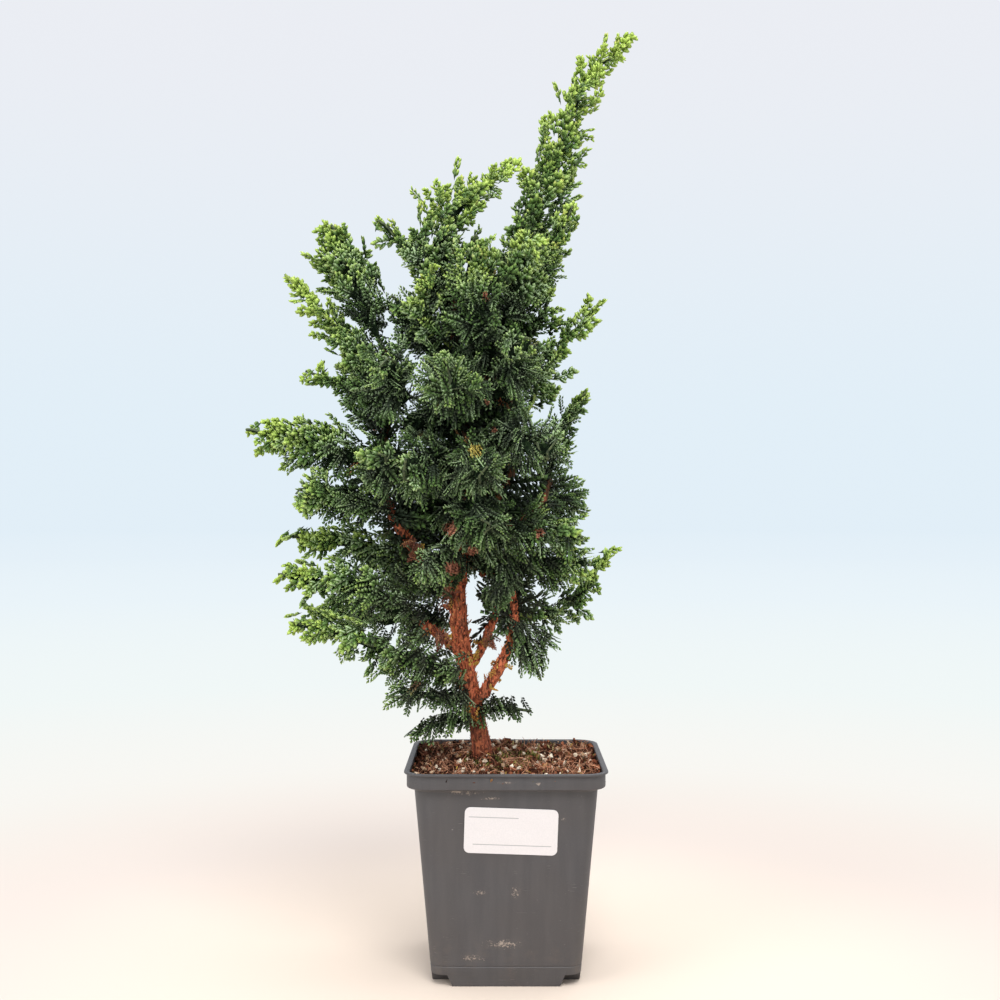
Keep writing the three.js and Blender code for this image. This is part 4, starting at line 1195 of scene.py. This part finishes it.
def skeleton(name, line, carrier, feet):
    """The twig and a side twig to each lobe of the spray, as loose edges with a thickness."""
    work = bmesh.new()
    thick = work.verts.layers.float.new("thick")

    def chain(points, first, last):
        verts = [work.verts.new(p) for p in points]
        for i, vert in enumerate(verts):
            vert[thick] = (first + (last - first) * i / (len(verts) - 1)) * MM
        for pair in zip(verts, verts[1:]):
            work.edges.new(pair)

    chain(line, *TWIG_THICK)
    shape = bmesh.new()
    shape.from_mesh(carrier)
    reach = [(v.co - Vector(feet[v.index])).length for v in shape.verts]
    for vert in shape.verts:
        around = [reach[edge.other_vert(vert).index] for edge in vert.link_edges]
        if reach[vert.index] > LOBE_REACH * MM and reach[vert.index] > max(around):
            foot = Vector(feet[vert.index])
            chain([foot, foot.lerp(vert.co, 0.5)], *SIDE_TWIG_THICK)
    shape.free()
    return bpy.data.objects.new(name, mesh_of(work, name))


# Where the crown is thin enough to see the sky through: X from and to, and Z from and to.
THIN_PLACES = [(8, 27, 268, 328), (16, 29, 349, 379), (-78, -60, 181, 197)]


def leaf_cover(node, place):
    """How thick the leaves are. They are gone just in front of a withered spray."""
    for low, high in withered.values():
        off = [max(low[k] - place[k], place[k] - high[k], 0) for k in (0, 2)]
        if node not in withered and place[1] < high[1] and math.hypot(*off) < 2 * MM:
            return 0.0
    x, _, z = place / MM
    is_thin = any(left < x < right and low < z < high for left, right, low, high in THIN_PLACES)
    return 0.25 if is_thin else 1.0


def light_on(place):
    """How well a place is lit: fully at the crown's top and at its sides."""
    across, _, height = place - CROWN_HEART
    upward = min(1, max(0, height / CROWN_RISE))
    beside = abs(across) / (CROWN_RIGHT if across > 0 else CROWN_LEFT)
    return max(upward, min(1, beside) * min(1, 0.8 + (place[2] - CROWN_FOOT) / CROWN_DEPTH))


def dress_carrier(node, line, base_age_and_shade, crown):
    """A spray's surface with what its fans need to know at each corner."""
    mesh = merged_copy(node)
    points = np.array([v.co for v in mesh.vertices])
    lengths = np.linalg.norm(np.diff(line, axis=0), axis=1)
    total = lengths.sum()
    starts = np.concatenate([[0], np.cumsum(lengths)])
    tangents = np.gradient(line, axis=0)
    tangents /= np.linalg.norm(tangents, axis=1)[:, None]
    feet, growth, facing, young, sky, clear = [], [], [], [], [], []
    for place, vertex in zip(points, mesh.vertices):
        near = np.argmin(np.linalg.norm(line - place, axis=1))
        reach = np.linalg.norm(line[near] - place)
        behind = max(0.0, starts[near] - 0.5 * reach)
        foot = np.array([np.interp(behind, starts, line[:, k]) for k in range(3)])
        out = (place - foot) / max(np.linalg.norm(place - foot), 1e-6)
        along = starts[near] / total
        open_sky = sky_share(Vector(place), vertex.normal, crown)
        lit = light_on(place)
        # young: the real age by spray kind and place along the spray, with painted light and shade on
        # top: lighter where the place is lit and the sky is open, lighter on upper sides and darker
        # underneath, darker where the crown closes the sky.
        young.append(base_age_and_shade * (0.65 + 0.35 * lit) + 0.5 * along ** 2 * min(1, 2 * open_sky) * lit
                     + 0.1 * vertex.normal.z * lit + 0.2 * (open_sky - 0.5))
        sky.append(open_sky)
        clear.append(leaf_cover(node, place))
        feet.append(foot)
        from_heart = (place - CROWN_HEART) * (1, 0.15, 1)
        from_heart /= np.linalg.norm(from_heart)
        hanging = max(0.2, 1 - 2.5 * young[-1]) + 1.2 * max(0, -vertex.normal.z)
        growth.append(0.65 * out * (1, 0.45, 1) + 0.35 * tangents[near] * (1, 0.6, 1)
                      + 0.3 * from_heart - FAN_DROOP * hanging)
        aside = Vector((0, math.copysign(0.5, place[1]), 0))
        facing.append((Vector(vertex.normal) * 0.5 + Vector(place - line[near]) / max(reach, 1e-6)
                       + aside).normalized())
    for name, values in {"growth": growth, "facing": facing, "foot": feet,
                         "young": young, "sky": sky, "clear": clear}.items():
        kind, key = ("FLOAT_VECTOR", "vector") if np.ndim(values) == 2 else ("FLOAT", "value")
        layer = mesh.attributes.new(name, kind, "POINT")
        layer.data.foreach_set(key, np.array(values, dtype=np.float32).ravel())
    return mesh, feet


slot_of = {part["node"]: part["material_slot"] for part in frame["record"]["subparts"]}
spray_nodes = [node for node in slot_of if node.endswith("_spray")]
withered = {node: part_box(node) for node in spray_nodes if slot_of[node] == "leaf_withered"}
FOLIAGE = foliage_tree()
leaves = {slot: leaf_finish(slot) for slot in ("leaf_deep", "leaf_mid", "leaf_bright")}
old_twig = twig_finish("old_twig", (0.03, 0.045, 0.018), (0.12, 0.15, 0.06))
young_twig = twig_finish("young_twig", (0.16, 0.24, 0.05), (0.34, 0.42, 0.1))
shade = inner_shade()
rng = random.Random(47)
fans = kit("fans", [young_fan(f"fan_{i}", rng) for i in range(YOUNG_FANS)]
           + [old_fan(f"fan_{i}", rng) for i in range(YOUNG_FANS, 2 * YOUNG_FANS)])
wood_surface = surface_of("trunk")
crown = surface_of(*spray_nodes)


def withered_finish():
    made = Finish("leaf_withered")
    tip, tint = made.attribute("tip"), made.attribute("tint")
    rough = made.grain(1.2 * MM, detail=3)
    color = (tint + rough * 0.4 - 0.2).rise(0, 0.9).between((0.16, 0.045, 0.025), (0.5, 0.2, 0.12))
    color = (tip.rise(0.4, 1) * tint.rise(0.75, 0.95) * 0.7).between(color, (0.72, 0.45, 0.1))
    return made.cover(color, 0.8, rough, 0.3 * MM)


# Clusters of dead yellow and orange scales on the inner wood: X and Z of each, and its radius.
DEAD_CLUSTERS = [(-34, 184, 10), (-33, 206, 6), (-29, 223, 5), (-23, 146, 9), (-12, 171, 8), (3, 178, 9),
                 (-6, 158, 7), (-18, 196, 6), (-46, 228, 8), (-41, 224, 6)]


def in_clusters(point, normal):
    near = min(math.hypot(point.x - x, point.z - z) / radius for x, z, radius in DEAD_CLUSTERS)
    return 1.0 if near < 1 else 0.0


def fallen_share(point, normal):
    """Shed scales lie on the soil, most of them against the trunk's foot."""
    return on_top(point, normal) * (1 if near_trunk(point - SHED_OFFSET) < SHED_REACH else 0.08)


def golden_finish():
    made = Finish("golden_scales")
    tint, rough = made.attribute("tint"), made.grain(1.2 * MM, detail=3)
    color = (tint + rough * 0.5 - 0.25).rise(0, 0.9).between((0.42, 0.13, 0.03), (0.86, 0.58, 0.12))
    return made.cover(color, 0.8, rough, 0.3 * MM)


def inner_share(point, normal):
    """Old leaves sit on the limbs inside the crown."""
    return 1.0 if point.z > 232 or (-14 < point.x < 12 and point.z > 195) else 0.0


leaves["leaf_withered"] = withered_finish()
golden = golden_finish()
old_fans = kit("old_fans", [old_fan(f"old_fan_{i}", rng) for i in range(4)])
dead_fans = kit("dead_fans", [young_fan(f"dead_fan_{i}", rng) for i in range(3)])
loose_scales = [
    strew("inner_leaves", wood.data, inner_share, kit=old_fans, spacing=3.6 * MM, share=0.9,
          smallest=1.2, largest=2.2, growth=(0, 0, 0.3), seed=9, finish=leaves["leaf_deep"]),
    strew("dead_scales", wood.data, in_clusters, kit=dead_fans, spacing=3 * MM, share=0.55,
          smallest=0.3, largest=0.68, growth=(0, 0, 0.5), sink=-0.5 * MM, seed=4, finish=golden),
    strew("fallen_scales", soil_surface, fallen_share, kit=old_fans, spacing=5 * MM, share=0.9,
          smallest=0.15, largest=0.33, growth=(0, 0, 0.2), sink=1.5 * MM, seed=6, finish=golden),
]
for piece in loose_scales:
    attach(piece, "root")

for index, node in enumerate(spray_nodes):
    slot = slot_of[node]
    line = twig_line(np.array([v.co for v in frame["nodes"][node].data.vertices]), wood_surface)
    carrier, feet = dress_carrier(node, line, AGES_AND_SHADE[slot], crown)
    spray = piece_of(node.replace("_spray", "_fans"), carrier)
    give(spray, FOLIAGE, twigs=skeleton(f"{node}_twigs", line, carrier, feet), fans=fans,
         leaf=leaves[slot], twig=young_twig if slot == "leaf_bright" else old_twig, shade=shade,
         turned=OVER_SHARE, seed=index * 10, **SPRAY_KINDS[slot])
    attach(spray, "root")
    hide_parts(node)


# ---- Room -----------------------------------------------------------------------------------
# The pot stands on a pale seamless floor that fades into a light blue backdrop, under the soft
# light of large diffusers above and beside the camera.

HORIZON = (0.76, 0.86, 0.935)
ZENITH = (0.83, 0.85, 0.9)
FLOOR_RADIUS = 30  # metres


def seamless_floor():
    """Warm white paint round the pot. Farther off it glows as the backdrop does."""
    made = Finish("seamless_floor")
    far = made.place.length()
    near = far.rise(0.08, 0.35).between((0.78, 0.665, 0.56), (0.64, 0.56, 0.505))
    paint = made.add("ShaderNodeBsdfDiffuse", None, {"Color": near})
    glow = made.add("ShaderNodeValToRGB", {"stops": (
        (0.03, (0.965, 0.91, 0.85)), (0.055, (0.94, 0.935, 0.9)), (0.1, (0.88, 0.935, 0.93)),
        (0.25, (0.825, 0.905, 0.95)), (0.5, (0.785, 0.876, 0.942)), (1, HORIZON))}, {0: far * (1 / 12)})
    glow = made.add("ShaderNodeEmission", None, {"Color": glow})
    both = made.add("ShaderNodeMixShader", None, {0: far.rise(0.22, 0.6), 1: paint, 2: glow})
    made.add("ShaderNodeOutputMaterial", None, {"Surface": both})
    return made.material


def make_floor():
    work = bmesh.new()
    bmesh.ops.create_circle(work, cap_ends=True, segments=96, radius=FLOOR_RADIUS)
    return piece_of("floor", mesh_of(work, "floor"), seamless_floor())


def soft_light(name, place, aim, size, power):
    data = bpy.data.lights.new(name, "AREA")
    data.shape = "DISK"
    data.size = size
    data.energy = power
    light = bpy.data.objects.new(name, data)
    light.location = place
    light.rotation_euler = (Vector(aim) - Vector(place)).to_track_quat("-Z", "Y").to_euler()
    scene.collection.objects.link(light)


make_floor()
soft_light("key", (0.25, -1.3, 1.8), (0, 0, 0.25), 1.0, 26)
soft_light("fill", (-1.5, -1.1, 1.0), (0, 0, 0.25), 1.2, 11)
soft_light("top", (0.1, 0.1, 1.9), (0, 0, 0.3), 1.4, 14)
sky_world = bpy.data.worlds.new("backdrop")
sky_world.use_nodes = True
backdrop = Tree(sky_world.node_tree)
upward = backdrop.add("ShaderNodeSeparateXYZ", None, {
    0: backdrop.add("ShaderNodeTexCoord").sibling("Generated")}).sibling("Z")
glow = upward.rise(0.04, 0.34).between(HORIZON, ZENITH)
backdrop.add("ShaderNodeOutputWorld", None, {
    "Surface": backdrop.add("ShaderNodeBackground", None, {"Color": glow, "Strength": 1.0})})
scene.world = sky_world
